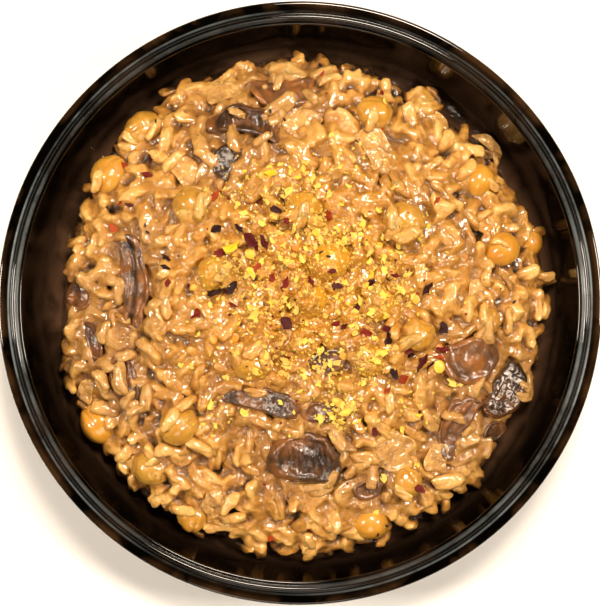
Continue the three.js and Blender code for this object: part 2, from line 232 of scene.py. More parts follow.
def ball_grid(sides, steps):
    """Points of a unit ball with its poles on X, and its faces pointing out."""
    points = [(1, 0, 0)]
    for i in range(1, steps):
        turn = math.pi * i / steps
        for j in range(sides):
            spin = 2 * math.pi * j / sides
            ring = math.sin(turn)
            points.append((math.cos(turn), ring * math.cos(spin), ring * math.sin(spin)))
    points.append((-1, 0, 0))
    return np.array(points), ring_faces(steps - 1, sides)


def points_of(piece):
    """All points of a mesh, in millimetres."""
    flat = np.zeros(len(piece.data.vertices) * 3)
    piece.data.vertices.foreach_get("co", flat)
    return flat.reshape(-1, 3) / MM


def set_points(piece, points):
    """Moves all points of a mesh to places in millimetres."""
    piece.data.vertices.foreach_set("co", (points * MM).ravel())
    piece.data.update()


def put_attribute(piece, name, values):
    """One number for each point of a mesh, for its material to read."""
    layer = piece.data.attributes.get(name) or piece.data.attributes.new(name, "FLOAT", "POINT")
    layer.data.foreach_set("value", np.asarray(values, np.float32))


def triangles_in(piece):
    """How many triangles the mesh has once its faces are split."""
    return sum(len(p.vertices) - 2 for p in piece.data.polygons)


def finish_piece(piece, slot, *replaced):
    """The piece rides on the body and stands for the nodes it replaces; its slot is not used."""
    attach(piece, BODY)
    if replaced:
        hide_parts(*replaced)
    return piece


print("a ball of 8 sides has", len(ball_grid(8, 5)[0]), "points")

# %% [markdown]
# ## Building materials
# A material is a small graph of nodes. One helper adds a node with its settings, values, links and
# colour stops, so each finish below reads as a list of what it is made of. Where a node is given as an
# input, its output in use is meant. Patterns read Object coordinates, which are in metres, so a noise
# takes its scale from a size in millimetres.


# %% Material helpers
def set_inputs(node, inputs):
    """Gives a node its inputs: each is a value, a hex colour, a socket or another node."""
    for key, value in inputs.items():
        if isinstance(value, bpy.types.Node):
            value = next(socket for socket in value.outputs if socket.enabled)
        if isinstance(value, bpy.types.NodeSocket):
            node.id_data.links.new(value, node.inputs[key])
        elif isinstance(value, str) and value.startswith("#"):
            node.inputs[key].default_value = linear(value)
        else:
            node.inputs[key].default_value = value


def add_node(tree, kind, inputs=None, stops=(), **settings):
    """Adds a node with its settings, its inputs and a ramp's stops."""
    node = tree.nodes.new(kind)
    for key, value in settings.items():
        setattr(node, key, value)
    set_inputs(node, inputs or {})
    for i, (position, colour) in enumerate(stops):
        ramp = node.color_ramp.elements
        stop = ramp[i] if i < len(ramp) else ramp.new(1.0)
        stop.position, stop.color = position, linear(colour)
    return node


def new_material(name, reads=(), **values):
    """A material with these values on its shader, whose graph reads the place or numbers of a mesh.

    Returns the material, its tree and its shader, then a socket for each name in reads."""
    material = bpy.data.materials.new(name)
    material.use_nodes = True
    tree = material.node_tree
    shader = tree.nodes["Principled BSDF"]
    set_inputs(shader, {socket.replace("_", " "): value for socket, value in values.items()})
    sockets = [add_node(tree, COORDINATES).outputs["Object"] if read == "place" else
               add_node(tree, ATTRIBUTE, attribute_name=read).outputs["Fac"] for read in reads]
    return material, tree, shader, *sockets


def per_mm(size):
    """Scale of a noise whose features are about this many millimetres across."""
    return 1 / (size * MM)


COORDINATES, ATTRIBUTE, NOISE = "ShaderNodeTexCoord", "ShaderNodeAttribute", "ShaderNodeTexNoise"
RAMP, MIX, BUMP, RANGE = "ShaderNodeValToRGB", "ShaderNodeMix", "ShaderNodeBump", "ShaderNodeMapRange"
MATH, SPLIT = "ShaderNodeMath", "ShaderNodeSeparateXYZ"
SHARE, UNDER, OVER = 0, 6, 7  # a colour mix's inputs: how much of the upper colour, and both colours
print("a noise of 2 mm has the scale", per_mm(2))

# %% [markdown]
# ## The camera, the table and the light
# The camera looks straight down on the dish from half a metre, as a cook's phone would. A soft warm
# lamp hangs high behind the dish and a little to the right, two weaker ones stand left and right, and
# a wide one fills the shadows from the front. So the wet grains carry small highlights, mostly on
# their far side. The room is dark straight overhead, because the glossy rim and floor mirror it. The
# table is painted a pale, matt white, which gives the eye nothing but the dish's soft shadow.

# %% Camera
IMAGE_WIDTH, IMAGE_HEIGHT = 600, 606
CAMERA_ABOVE_RIM = 480
VIEW_WIDTH = 170.2
CLIP_START = 10
camera_data = bpy.data.cameras.new("camera")
camera = bpy.data.objects.new("camera", camera_data)
bpy.context.scene.collection.objects.link(camera)
bpy.context.scene.camera = camera
camera.location = (0, 0, (RIM_HEIGHT + CAMERA_ABOVE_RIM) * MM)
camera_data.lens = camera_data.sensor_width * CAMERA_ABOVE_RIM / (VIEW_WIDTH * IMAGE_HEIGHT / IMAGE_WIDTH)
camera_data.clip_start = CLIP_START * MM
print("focal length:", round(camera_data.lens, 1), "mm")

# %% Table
TABLE_HALF = 2400
corners = [(x * TABLE_HALF, y * TABLE_HALF, 0) for x, y in ((-1, -1), (1, -1), (1, 1), (-1, 1))]
pale_paint = new_material("pale_matt_paint", Base_Color="#fbfaf8", Roughness=0.7)[0]
table = make_object("table", corners, [(0, 1, 2, 3)], pale_paint, smooth=False)
print("table:", 2 * TABLE_HALF * MM, "m wide")


# %% Lamps
def add_lamp(name, azimuth, elevation, distance, size, power, colour):
    """A square lamp that points at the food, placed by its direction from it."""
    lamp_data = bpy.data.lights.new(name, "AREA")
    lamp_data.size = size
    lamp_data.energy = power
    lamp_data.color = linear(colour)[:3]
    lamp = bpy.data.objects.new(name, lamp_data)
    bpy.context.scene.collection.objects.link(lamp)
    turn, lift = math.radians(azimuth), math.radians(elevation)
    direction = Vector((math.cos(turn) * math.cos(lift), math.sin(turn) * math.cos(lift), math.sin(lift)))
    lamp.location = direction * distance
    lamp.rotation_euler = direction.to_track_quat("Z", "Y").to_euler()


LAMPS = [
    ("lamp_back", 76, 64, 0.85, 0.2, 6.8, "#ffefda"),
    ("lamp_left", 180, 46, 0.9, 0.16, 5.0, "#fff2e2"),
    ("lamp_right", 4, 50, 0.9, 0.16, 5.0, "#fff2e2"),
    ("lamp_front", -95, 48, 1.1, 0.4, 2.1, "#fff0e0"),
]  # name, azimuth, elevation, distance (m), size (m), power (W), colour
for lamp_row in LAMPS:
    add_lamp(*lamp_row)
print("lamps:", [row[0] for row in LAMPS])

# %% The room, pale at the sides and dark overhead
world = bpy.data.worlds.new("studio")
bpy.context.scene.world = world
world.use_nodes = True
room = world.node_tree
upward = add_node(room, SPLIT, {"Vector": add_node(room, COORDINATES).outputs["Generated"]}).outputs["Z"]
glow = add_node(room, RAMP, {"Fac": upward}, [(0.0, "#a68d62"), (0.62, "#7a6648"), (0.92, "#0c0a08")])
background = room.nodes["Background"]
set_inputs(background, {"Color": glow, "Strength": 0.5})
bpy.context.scene.view_settings.view_transform = "Standard"
print("room nodes:", len(room.nodes))

# %% [markdown]
# ## The dish
# The dish is black pressed glass: a flat floor, a rounded corner, a nearly upright wall and a narrow
# lip with a raised bead. It is turned from one line, as the real mould is. A lathe keeps every curve
# smooth, where the plain model has flats.


# %% Turn the dish
def arc(cx, cy, radius, start, end, steps):
    """Points of an arc in the dish's section, angles in degrees."""
    turns = np.radians(np.linspace(start, end, steps))
    return [(cx + radius * math.cos(t), cy + radius * math.sin(t)) for t in turns]


def turn_profile(name, profile, sides, material):
    """A closed lathe: the profile runs from the axis round the outside and back to the axis."""
    points = [(0, 0, profile[0][1])]
    for radius, height in profile[1:-1]:
        for j in range(sides):
            spin = 2 * math.pi * j / sides
            points.append((radius * math.cos(spin), radius * math.sin(spin), height))
    points.append((0, 0, profile[-1][1]))
    outward = [(face[0],) + face[:0:-1] for face in ring_faces(len(profile) - 2, sides)]
    return make_object(name, points, outward, material)


BEAD_RADIUS = LIP_INNER_RADIUS + 2.1
BEAD_CURVE = 0.8
LIP_TOP = RIM_HEIGHT - 1.2
LIP_EDGE_CURVE, LIP_INNER_CURVE = 0.75, 0.6
FOOT_CURVE, OUTER_CORNER_CURVE, NECK_CURVE = 3, 6.6, 0.7
OUTER_WALL = LIP_INNER_RADIUS + GLASS
FLOOR_RADIUS = WALL_FOOT_RADIUS - CORNER_RADIUS
DISH_SIDES = 256
underside = (
    [(0, 0), (BASE_RADIUS - 4, 0), (BASE_RADIUS - 1.2, 0)]
    + arc(BASE_RADIUS - 1, FOOT_CURVE, FOOT_CURVE, -86, -62, 4)
    + arc(OUTER_WALL - 10.5, 8.5, OUTER_CORNER_CURVE, -62, -14, 7)
    + [(OUTER_WALL - 1.6, FLOOR + CORNER_RADIUS + 4), (OUTER_WALL + 0.1, RIM_HEIGHT - 5.4)]
    + arc(OUTER_WALL + 1, RIM_HEIGHT - 4.5, NECK_CURVE, 190, 110, 4)
    + [(RIM_RADIUS - 0.9, RIM_HEIGHT - 3.1)]
)
lip_and_bead = (
    arc(RIM_RADIUS - LIP_EDGE_CURVE, LIP_TOP - LIP_EDGE_CURVE, LIP_EDGE_CURVE, -70, 90, 9)
    + [(RIM_RADIUS - 0.9, LIP_TOP), (BEAD_RADIUS + 1.05, LIP_TOP), (BEAD_RADIUS + 0.9, LIP_TOP)]
    + arc(BEAD_RADIUS, RIM_HEIGHT - BEAD_CURVE, BEAD_CURVE, -14, 194, 13)
    + [(BEAD_RADIUS - 0.9, LIP_TOP), (BEAD_RADIUS - 1.0, LIP_TOP)]
    + arc(LIP_INNER_RADIUS + LIP_INNER_CURVE, LIP_TOP - LIP_INNER_CURVE, LIP_INNER_CURVE, 90, 176, 7)
)
inside = (
    [(LIP_INNER_RADIUS - 0.05, LIP_TOP - 1.2), (LIP_INNER_RADIUS - 1.1, RIM_HEIGHT - 9)]
    + arc(FLOOR_RADIUS, FLOOR + CORNER_RADIUS, CORNER_RADIUS, -6, -90, 12)
    + [(FLOOR_RADIUS - 3, FLOOR), (0, FLOOR)]
)
glass, tree, shader, place, reach, highlight_sides = new_material(
    "black_pressed_glass", ("place", "reach", "highlight_sides"), Base_Color="#070605", Roughness=0.04, IOR=1.5)
dish = turn_profile("dish", underside + lip_and_bead + inside, DISH_SIDES, glass)
print("dish faces:", len(dish.data.polygons))

# %% [markdown]
# Pressed glass is dark right through, so its colour hardly matters: what shows is what it mirrors. A
# thin film of grease and wiping marks breaks the mirror a little. The floor and the foot of the wall are
# painted brown in swirls, lightest on the floor: partly a film of sauce and partly a painted reflection
# of the food. The lip's outer edge is painted brown too, a painted reflection, and the raised bead
# carries pale painted highlights along its two edges, brightest on two opposite sides.

# %% Sauce film, painted reflection and grease on the glass
height = add_node(tree, SPLIT, {"Vector": place}).outputs["Z"]
level = add_node(tree, RANGE, {"Value": height, "From Max": RIM_HEIGHT * MM})
# brown, lightest on the floor and darker up the wall: partly sauce film, partly painted reflection of the
# food
tint = add_node(tree, RAMP, {"Fac": level},
                [(0.15, "#5c4230"), (0.3, "#2e2016"), (0.55, "#0e0805"), (0.88, "#030201")])
swirls = add_node(tree, NOISE, {"Vector": place, "Scale": per_mm(17), "Detail": 3, "Distortion": 1.0})
sauce_and_reflection_swirls = add_node(tree, RANGE, {"Value": swirls, "From Min": 0.45, "From Max": 0.65, "To Max": 0.8})
# brown swirls on the walls: partly sauce, partly painted reflection of the food
walls_with_sauce_and_reflection = add_node(tree, MIX, {SHARE: sauce_and_reflection_swirls, UNDER: tint, OVER: "#20150b"}, data_type="RGBA")
smears = add_node(tree, NOISE, {"Vector": place, "Scale": per_mm(14), "Detail": 4, "Roughness": 0.6})
film = add_node(tree, RANGE, {"Value": smears, "From Min": 0.45, "From Max": 0.75,
                              "To Min": 0.03, "To Max": 0.1})
print("the tint ends at", round(0.88 * RIM_HEIGHT), "mm")

# %% Painted highlights on the lip and the bead
HIGHLIGHT_FROM = 80
BEAD_FOOT = LIP_TOP - 0.3
sideways = points_of(dish)[:, :2].T
put_attribute(dish, "reach", np.hypot(*sideways))
# the painted highlights on the bead are brightest on two opposite sides
put_attribute(dish, "highlight_sides", 0.55 + 0.45 * np.cos(2 * np.arctan2(sideways[1], sideways[0]) + 0.5))
# pale rings on the bead and the lip, in patches: painted highlights
across = add_node(tree, RANGE, {"Value": reach, "From Min": HIGHLIGHT_FROM, "From Max": RIM_RADIUS})
painted_rim_highlights = add_node(tree, RAMP, {"Fac": across}, [(0.0, "#000000"), (0.1, "#909090"), (0.2, "#1c1c1c"),
                                              (0.42, "#242424"), (0.5, "#a0a0a0"), (0.56, "#000000")])
patchy = add_node(tree, NOISE, {"Vector": place, "Scale": per_mm(34), "Detail": 5, "Roughness": 0.7})
highlight_patches = add_node(tree, RANGE, {"Value": patchy, "From Min": 0.4, "From Max": 0.62,
                                "To Min": 0.2, "To Max": 1.9})
highlight_strength = add_node(tree, MATH, {0: highlight_sides, 1: highlight_patches}, operation="MULTIPLY")
edges = add_node(tree, MATH, {0: painted_rim_highlights, 1: highlight_strength}, operation="MULTIPLY")
raised = add_node(tree, MATH, {0: level, 1: BEAD_FOOT / RIM_HEIGHT}, operation="GREATER_THAN")
bead = add_node(tree, MATH, {0: edges, 1: raised}, operation="MULTIPLY")
# the lip's outer edge is painted brown where the swirls fall: a painted reflection
lip = add_node(tree, RAMP, {"Fac": across}, [(0.66, "#000000"), (0.8, "#ffffff")])
painted_lip_reflection = add_node(tree, MATH, {0: lip, 1: sauce_and_reflection_swirls}, operation="MULTIPLY")
with_lip_reflection = add_node(tree, MIX, {SHARE: painted_lip_reflection, UNDER: walls_with_sauce_and_reflection, OVER: "#3a2614"}, data_type="RGBA")
# the pale grey on the bead's edges is a painted highlight
finished = add_node(tree, MIX, {SHARE: bead, UNDER: with_lip_reflection, OVER: "#a9b4b8"}, data_type="RGBA")
set_inputs(shader, {"Base Color": finished, "Roughness": film})
finish_piece(dish, "dish", "bowl")
print("glass nodes:", len(tree.nodes))

# %% [markdown]
# ## Rice: one grain
# A cooked risotto grain is a plump, blunt oval about 8 mm long, a little bent, with soft ridges along
# it and dents. Five different grains are enough, because each is turned and sized anew when strewn.

# %% Grain shapes
GRAIN_LENGTH, GRAIN_WIDTH, GRAIN_HEIGHT = 8.6, 3.8, 3.3


def grain_shape(name, seed, sides, steps):
    """A grain lying along X round the origin, in millimetres."""
    points, faces = ball_grid(sides, steps)
    # plump up to its blunt ends, with ridges that wind along it and a dent across it
    girth = np.maximum(np.hypot(points[:, 1], points[:, 2]), 1e-6) ** -0.42
    around = np.arctan2(points[:, 2], points[:, 1]) + 0.8 * points[:, 0]
    girth *= 1 + 0.12 * np.cos(3 * around + seed * 1.7) + 0.06 * np.cos(5 * around + seed)
    girth *= 1 - 0.12 * np.exp(-((points[:, 0] - 0.3 * math.sin(seed * 5.1)) / 0.25) ** 2)
    # bent to one side and thicker at one end, each grain by its own amount
    bend = 0.7 * math.sin(seed * 2.1 + 0.7)
    taper = 1 + 0.2 * math.sin(seed * 3.7) * points[:, 0]
    x = blunt(points[:, 0], 0.88) * GRAIN_LENGTH / 2
    y = points[:, 1] * girth * taper * GRAIN_WIDTH / 2 + bend * (points[:, 0] ** 2 - 0.4)
    z = points[:, 2] * girth * taper * GRAIN_HEIGHT / 2 - 0.3 * points[:, 0] ** 2
    shaped = np.stack([x, y, z], 1)
    # soft lumps all over it
    for i, point in enumerate(shaped):
        shaped[i] = point * (1 + 0.2 * noise.noise(Vector(point) * 0.5 + Vector((seed * 9.1, 0, 0))))
    return make_object(name, shaped, faces)


bed_grains = [grain_shape("bed_grain_%d" % i, i, 10, 7) for i in range(5)]
loose_grains = [grain_shape("loose_grain_%d" % i, i + 5, 20, 16) for i in range(5)]
print("faces of a loose grain:", len(loose_grains[0].data.polygons))

# %% [markdown]
# ## Strewing with Geometry Nodes
# The same small tree strews grains, crumbs and flakes. It reads points that carry a turn and a size,
# puts one of several shapes on each, makes them real and gives them a material. Its size and its seed
# are named inputs, so the modifier can set them without touching the tree.


# %% The strewing tree
def strewing_tree(name, shapes, material):
    """A tree that puts one of the shapes on each point and gives them all a material."""
    tree = bpy.data.node_groups.new(name, "GeometryNodeTree")
    face = tree.interface
    face.new_socket("Points", in_out="INPUT", socket_type="NodeSocketGeometry")
    face.new_socket("Size", in_out="INPUT", socket_type="NodeSocketFloat").default_value = 1.0
    face.new_socket("Seed", in_out="INPUT", socket_type="NodeSocketInt").default_value = 7
    face.new_socket("Strewn", in_out="OUTPUT", socket_type="NodeSocketGeometry")
    start = add_node(tree, "NodeGroupInput").outputs
    kinds = add_node(tree, "GeometryNodeGeometryToInstance")
    for shape in shapes:
        info = add_node(tree, "GeometryNodeObjectInfo", {"Object": shape})
        set_inputs(kinds, {"Geometry": info.outputs["Geometry"]})
    turn = add_node(tree, "GeometryNodeInputNamedAttribute", {"Name": "turn"}, data_type="FLOAT_VECTOR")
    scale = add_node(tree, "GeometryNodeInputNamedAttribute", {"Name": "scale"}, data_type="FLOAT")
    sized = add_node(tree, MATH, {0: scale, 1: start["Size"]}, operation="MULTIPLY")
    pick = add_node(tree, "FunctionNodeRandomValue", {4: 0, 5: len(shapes) - 1, "Seed": start["Seed"]},
                    data_type="INT")
    placed = add_node(tree, "GeometryNodeInstanceOnPoints", {
        "Points": start["Points"], "Instance": kinds, "Pick Instance": True,
        "Instance Index": pick, "Rotation": turn,
        "Scale": sized})
    real = add_node(tree, "GeometryNodeRealizeInstances", {"Geometry": placed})
    finish = add_node(tree, "GeometryNodeSetMaterial",
                      {"Geometry": real, "Material": material})
    add_node(tree, "NodeGroupOutput", {"Strewn": finish})
    return tree


def strew(name, shapes, places, turns, scales, material, tones=None, seed=7, size=1.0, smooth=True):
    """One plain mesh of shapes on the given places (mm), each with a turn (Euler angles) and a scale."""
    cloud = make_object(name + "_points", places, [])
    turn = cloud.data.attributes.new("turn", "FLOAT_VECTOR", "POINT")
    turn.data.foreach_set("vector", np.asarray(turns, np.float32).ravel())
    put_attribute(cloud, "scale", scales)
    put_attribute(cloud, "tone", np.zeros(len(places)) if tones is None else tones)
    modifier = cloud.modifiers.new("strew", "NODES")
    tree = strewing_tree(name, shapes, material)
    modifier.node_group = tree
    sockets = {item.name: item.identifier for item in tree.interface.items_tree if item.in_out == "INPUT"}
    modifier[sockets["Seed"]] = seed
    modifier[sockets["Size"]] = size
    graph = bpy.context.evaluated_depsgraph_get()
    mesh = bpy.data.meshes.new_from_object(cloud.evaluated_get(graph), depsgraph=graph)
    mesh.name = name
    mesh.materials.pop(index=0)  # the empty one of the bare shapes
    piece = bpy.data.objects.new(name, mesh)
    bpy.context.scene.collection.objects.link(piece)
    bpy.data.objects.remove(cloud)
    mesh.polygons.foreach_set("use_smooth", [smooth] * len(mesh.polygons))
    return piece


print("the strewing tree takes Points, Size and Seed")

# %% [markdown]
# ## Where the toppings lie
# The chickpeas and slices were fitted to the heap when the plain model was made, so their places are
# read from it. Grains of rice keep out of them: a grain whose middle falls inside a topping would only
# poke through it.

# %% Topping places
pea_nodes = [n for n in nodes if n.startswith("chickpea")]
slice_nodes = [n for n in nodes if n.startswith(("mushroom", "onion"))]
topping_trees, topping_boxes = {}, {}
for node_name in pea_nodes + slice_nodes:
    shell = bmesh.new()
    shell.from_mesh(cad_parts[node_name].data)
    bmesh.ops.remove_doubles(shell, verts=shell.verts, dist=1e-6)
    topping_trees[node_name] = BVHTree.FromBMesh(shell)
    topping_boxes[node_name] = [np.array(corner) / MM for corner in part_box(node_name)]
    shell.free()


def clearance(point, names):
    """How far a point (mm) is from the nearest topping: negative when it is inside one."""
    nearest = 99.0
    for name in names:
        low, high = topping_boxes[name]
        if np.any(point < low - 4) or np.any(point > high + 4):
            continue
        hit, normal, _, distance = topping_trees[name].find_nearest(Vector(point) * MM)
        side = 1 if (Vector(point) * MM - hit).dot(normal) > 0 else -1
        nearest = min(nearest, side * distance / MM)
    return nearest


# a few chickpeas are clean and bright, and the others wear sauce and rice on one side
CLEAN = [0.6, 0.8, 0.4, 0.35, 0.7, 0.3, 0.2, 0.2, 0.9, 1.0, 1.0, 1.0,
         0.6, 0.5, 0.7, 0.6, 0.9, 0.3, 0.4, 0.3, 0.2, 0.25, 0.2, 0.2]
print("toppings:", len(topping_trees))

# %% [markdown]
# ## Rice: the creamy bed
# Nearly all of a risotto is grains bound by cheese and starch, so the joints are filled and only the
# grains' backs show. It is made as the real one is: grains are packed over a core, and a voxel remesh
# melts them together, as the sauce does. Smoothing then rounds the joints, and shallow folds break
# the surface. What is finer than the voxels is left to the material.

# %% Spread of grains over the heap
GOLDEN_ANGLE = math.pi * (3 - math.sqrt(5))
MEAN_RADIUS = 71
LUMP_SEED = 3.3
GRAIN_LAYERS = [
    (1350, 11, -0.9, 0.22, -1.5, 0.4, 0.5),
    (720, 12, 0.2, 0.3, -0.7, 1.2, 0.9),
    (300, 13, 0.8, 0.3, 0.6, 1.6, 1.1),
]  # places, seed, rise over the surface, tilt, gaps to chickpeas and to slices, height of the lumps


def sunflower(count, shake, draw):
    """Even places over the heap's plan, each shaken by a share of their spacing."""
    order = np.arange(count) + 0.5
    angle = order * GOLDEN_ANGLE
    reach = np.sqrt(order / count) * (heap_radius(angle) - 1.2)
    moved = draw.normal(0, shake * MEAN_RADIUS * math.sqrt(math.pi / count), (2, count))
    x, y = reach * np.cos(angle) + moved[0], reach * np.sin(angle) + moved[1]
    back = np.minimum(1, (heap_radius(np.arctan2(y, x)) - 1.0) / np.maximum(np.hypot(x, y), 1e-6))
    return x * back, y * back


def lump(x, y, size):
    """A soft random swell from about -1 to 1, with lumps of the given size."""
    return np.array([noise.noise(Vector((a / size, b / size, LUMP_SEED))) for a, b in zip(x, y)]) * 2


def lay_grains(count, seed, rise, tilt, off_peas, off_slices, lumps):
    """Places, turns and scales of grains that lie on the heap and keep off the toppings."""
    draw = np.random.default_rng(seed)
    x, y = sunflower(count, 0.3, draw)
    height = surface_height(x, y)
    lifts = rise + draw.normal(0, 0.3, count) + lumps * lump(x, y, 7)
    places, turns, scales = [], [], []
    for i, normal in enumerate(surface_normals(x, y)):
        place = np.array([x[i], y[i], height[i]]) + np.array(normal) * lifts[i]
        lying = Matrix.Rotation(draw.uniform(0, 2 * math.pi), 3, "Z")
        lying @= Matrix.Rotation(draw.normal(0, tilt), 3, "Y")
        lying @= Matrix.Rotation(draw.normal(0, 0.3), 3, "X")
        scale = draw.uniform(0.8, 1.1)
        if clearance(place, pea_nodes) < off_peas or clearance(place, slice_nodes) < off_slices:
            continue
        places.append(place)
        turns.append((Vector((0, 0, 1)).rotation_difference(normal).to_matrix() @ lying).to_euler())
        scales.append(scale)
    return places, turns, scales


grain_layers = [lay_grains(*row) for row in GRAIN_LAYERS]
print("grains in the bed:", sum(len(layer[0]) for layer in grain_layers))


# %% Core under the grains
def heap_core(name, drop, rings=46, sides=160):
    """A closed dome a little under the rice's surface."""
    spins = np.linspace(0, 2 * math.pi, sides, endpoint=False)
    edge = heap_radius(spins)
    points = [(0, 0, float(surface_height(0, 0)) - drop)]
    for share in np.linspace(1 / rings, 1, rings):
        x, y = edge * share * np.cos(spins), edge * share * np.sin(spins)
        z = np.maximum(surface_height(x, y) - drop + 0.9 * lump(x, y, 6), HEAP_FLOOR + 0.6)
        points += list(zip(x, y, z))
    x, y = (edge - 1.6) * np.cos(spins), (edge - 1.6) * np.sin(spins)
    points += [(px, py, HEAP_FLOOR) for px, py in zip(x, y)]
    points.append((0, 0, HEAP_FLOOR))
    return make_object(name, points, ring_faces(rings + 1, sides))


def keep_in_dish(piece):
    """Draws back points that would touch the glass."""
    points = points_of(piece)
    reach = np.maximum(np.hypot(points[:, 0], points[:, 1]), 1e-6)
    corner = FLOOR + CORNER_RADIUS
    low = np.clip(corner - points[:, 2], 0, CORNER_RADIUS)
    wall = WALL_FOOT_RADIUS - CORNER_RADIUS + np.sqrt(CORNER_RADIUS ** 2 - low ** 2)
    wall += 0.2 * np.maximum(0, points[:, 2] - corner) - 0.3
    points[:, :2] *= np.minimum(1, wall / reach)[:, None]
    points[:, 2] = np.maximum(points[:, 2], HEAP_FLOOR)
    set_points(piece, points)


def fold_surface(piece, size, depth):
    """Wrinkles a surface with soft ridges about this size apart and this deep, in millimetres."""
    points = points_of(piece)
    flat = np.zeros(len(points) * 3)
    piece.data.vertices.foreach_get("normal", flat)
    ridges = np.array([0.4 - abs(noise.noise(Vector(point) / size)) * 2 for point in points])
    set_points(piece, points + flat.reshape(-1, 3) * ridges[:, None] * depth)


SAUCE_INSET = 0.45
SAUCE_SHIFT = 2.0


def sauce_cap(name, clean, turn):
    """A ball just inside a chickpea that comes out of it on one side, as a coat of sauce."""
    low, high = topping_boxes[name]
    middle, radius = (low + high) / 2, (high - low)[2] / 2
    points, faces = ball_grid(28, 20)
    inward = math.atan2(-middle[1], -middle[0]) + turn
    shift = np.array([math.cos(inward), math.sin(inward), 0.1]) * SAUCE_SHIFT * (1 - clean)
    return make_object(name + "_sauce", points * (radius - SAUCE_INSET) + middle + shift, faces)


# %% Melt the grains together
BED_VOXEL = 0.44
BED_TRIANGLES = 190000
FOLD_SIZE = 2.2
core = heap_core("core", 0.8)
layers = [core] + [strew("bed_layer_%d" % i, bed_grains, *layer, None, seed=31 + i)
                   for i, layer in enumerate(grain_layers)]
layers += [sauce_cap(name, clean, 0.9 * math.sin(i * 2.3))
           for i, (name, clean) in enumerate(zip(pea_nodes, CLEAN))]
for other in bpy.context.selected_objects:
    other.select_set(False)
for layer in layers:
    layer.select_set(True)
bpy.context.view_layer.objects.active = core
bpy.ops.object.join()
bed = core
bed.name = "rice_bed"
melt = bed.modifiers.new("melt", "REMESH")
melt.mode, melt.voxel_size = "VOXEL", BED_VOXEL * MM
relax = bed.modifiers.new("relax", "SMOOTH")
relax.factor, relax.iterations = 0.5, 4
for modifier in ("melt", "relax"):
    bpy.ops.object.modifier_apply(modifier=modifier)
thin = bed.modifiers.new("thin", "DECIMATE")
thin.ratio = min(1.0, BED_TRIANGLES / triangles_in(bed))
bpy.ops.object.modifier_apply(modifier="thin")
fold_surface(bed, FOLD_SIZE, 0.42)
keep_in_dish(bed)
print("triangles of the bed:", triangles_in(bed))

# %% [markdown]
# ## Finish of the rice
# Cooked rice in a sauce of stock, cream and cheese is a golden tan. Light enters the grains and
# spreads, which softens their shading. The wet coat lies smoother than the grains under it, so it has
# a bump of its own and gives sharp highlights along their backs. Each point gets a tone from how far it
# stands over its surroundings: darker in the joints and paler on the backs, partly because the sauce
# lies thicker and browner in the joints and partly as painted shade. Yellow yeast has melted into the
# middle of the heap.

# %% How far a point stands over its surroundings
GRID_HALF, GRID_CELL = 80, 0.5
GRID_CELLS = int(2 * GRID_HALF / GRID_CELL)
SURROUNDINGS = 5  # cells
YEAST_MIDDLE = 3, 4
YEAST_REACH = 31
MEAN_TONE = 0.54
RELIEF_RANGE = 4.0
JUICE_AND_SHADE_REACH = 4


def blurred(grid, reach):
    """A grid smoothed by a bell curve along both of its sides."""
    steps = np.arange(-int(3 * reach), int(3 * reach) + 1)
    bell = np.exp(-(steps / reach) ** 2 / 2)
    for axis in (0, 1):
        grid = np.apply_along_axis(np.convolve, axis, grid, bell / bell.sum(), mode="same")
    return grid


def grid_cells(points):
    """Row and column of the cell that each point (mm) stands on."""
    cells = ((points[:, :2] + GRID_HALF) / GRID_CELL).astype(int)
    return tuple(np.clip(cells, 0, GRID_CELLS - 1).T)


bed_points = points_of(bed)
tops = np.zeros((GRID_CELLS, GRID_CELLS))
np.maximum.at(tops, grid_cells(bed_points), bed_points[:, 2])
filled = (tops > 0).astype(float)
mean_level = blurred(tops, SURROUNDINGS) / np.maximum(blurred(filled, SURROUNDINGS), 1e-3)


def yeast_share(points):
    """How much yeast has melted in: most a little right of the middle."""
    return np.exp(-(np.hypot(*(points[:, :2] - YEAST_MIDDLE).T) / YEAST_REACH) ** 2)


def set_rice_tones_and_painted_shade(piece, offset=0.0):
    """Tone from dark joints to pale backs, partly sauce and partly painted shade; yellow from yeast;
    browner near mushrooms, partly juice and partly painted shade.
    """
    points = points_of(piece)
    # lower points get a darker tone: partly thicker sauce in the joints, partly painted shade
    relief = points[:, 2] - mean_level[grid_cells(points)]
    put_attribute(piece, "tone", np.clip(MEAN_TONE + relief / RELIEF_RANGE + offset, 0, 1))
    put_attribute(piece, "yeast", yeast_share(points))
    # browner within a few millimetres of each mushroom slice: partly their juice, partly painted shade
    # near them
    juice_and_shade = np.zeros(len(points))
    for name in slice_nodes:
        if name.startswith("mushroom"):
            low, high = topping_boxes[name]
            past = np.maximum(np.maximum(low - points, points - high), 0)[:, :2]
            juice_and_shade = np.maximum(juice_and_shade, np.exp(-(np.hypot(*past.T) / JUICE_AND_SHADE_REACH) ** 2))
    put_attribute(piece, "juice_and_shade", juice_and_shade)


print("cells with rice:", int(filled.sum()))

# %% Patterns that several of the finishes share
YEAST_CRUMB = 0.8


def uneven(tree, place, tone, size, detail):
    """A tone that patches of this size (mm) make lighter or darker by up to a quarter."""
    patches = add_node(tree, NOISE, {"Vector": place, "Scale": per_mm(size), "Detail": detail})
    raised = add_node(tree, MATH, {0: patches, 1: 0.5, 2: tone}, operation="MULTIPLY_ADD")
    return add_node(tree, MATH, {0: raised, 1: 0.25}, operation="SUBTRACT")


def mottled(tree, place, colour, size, blur, dark):
    """A colour with darker patches of about this size (mm) and with this soft an edge."""
    patches = add_node(tree, NOISE, {"Vector": place, "Scale": per_mm(size), "Detail": 3})
    spots = add_node(tree, RAMP, {"Fac": patches}, [(0.5 - blur, dark), (0.5 + blur, "#ffffff")])
    return add_node(tree, MIX, {SHARE: 0.7, UNDER: colour, OVER: spots}, data_type="RGBA",
                    blend_type="MULTIPLY")


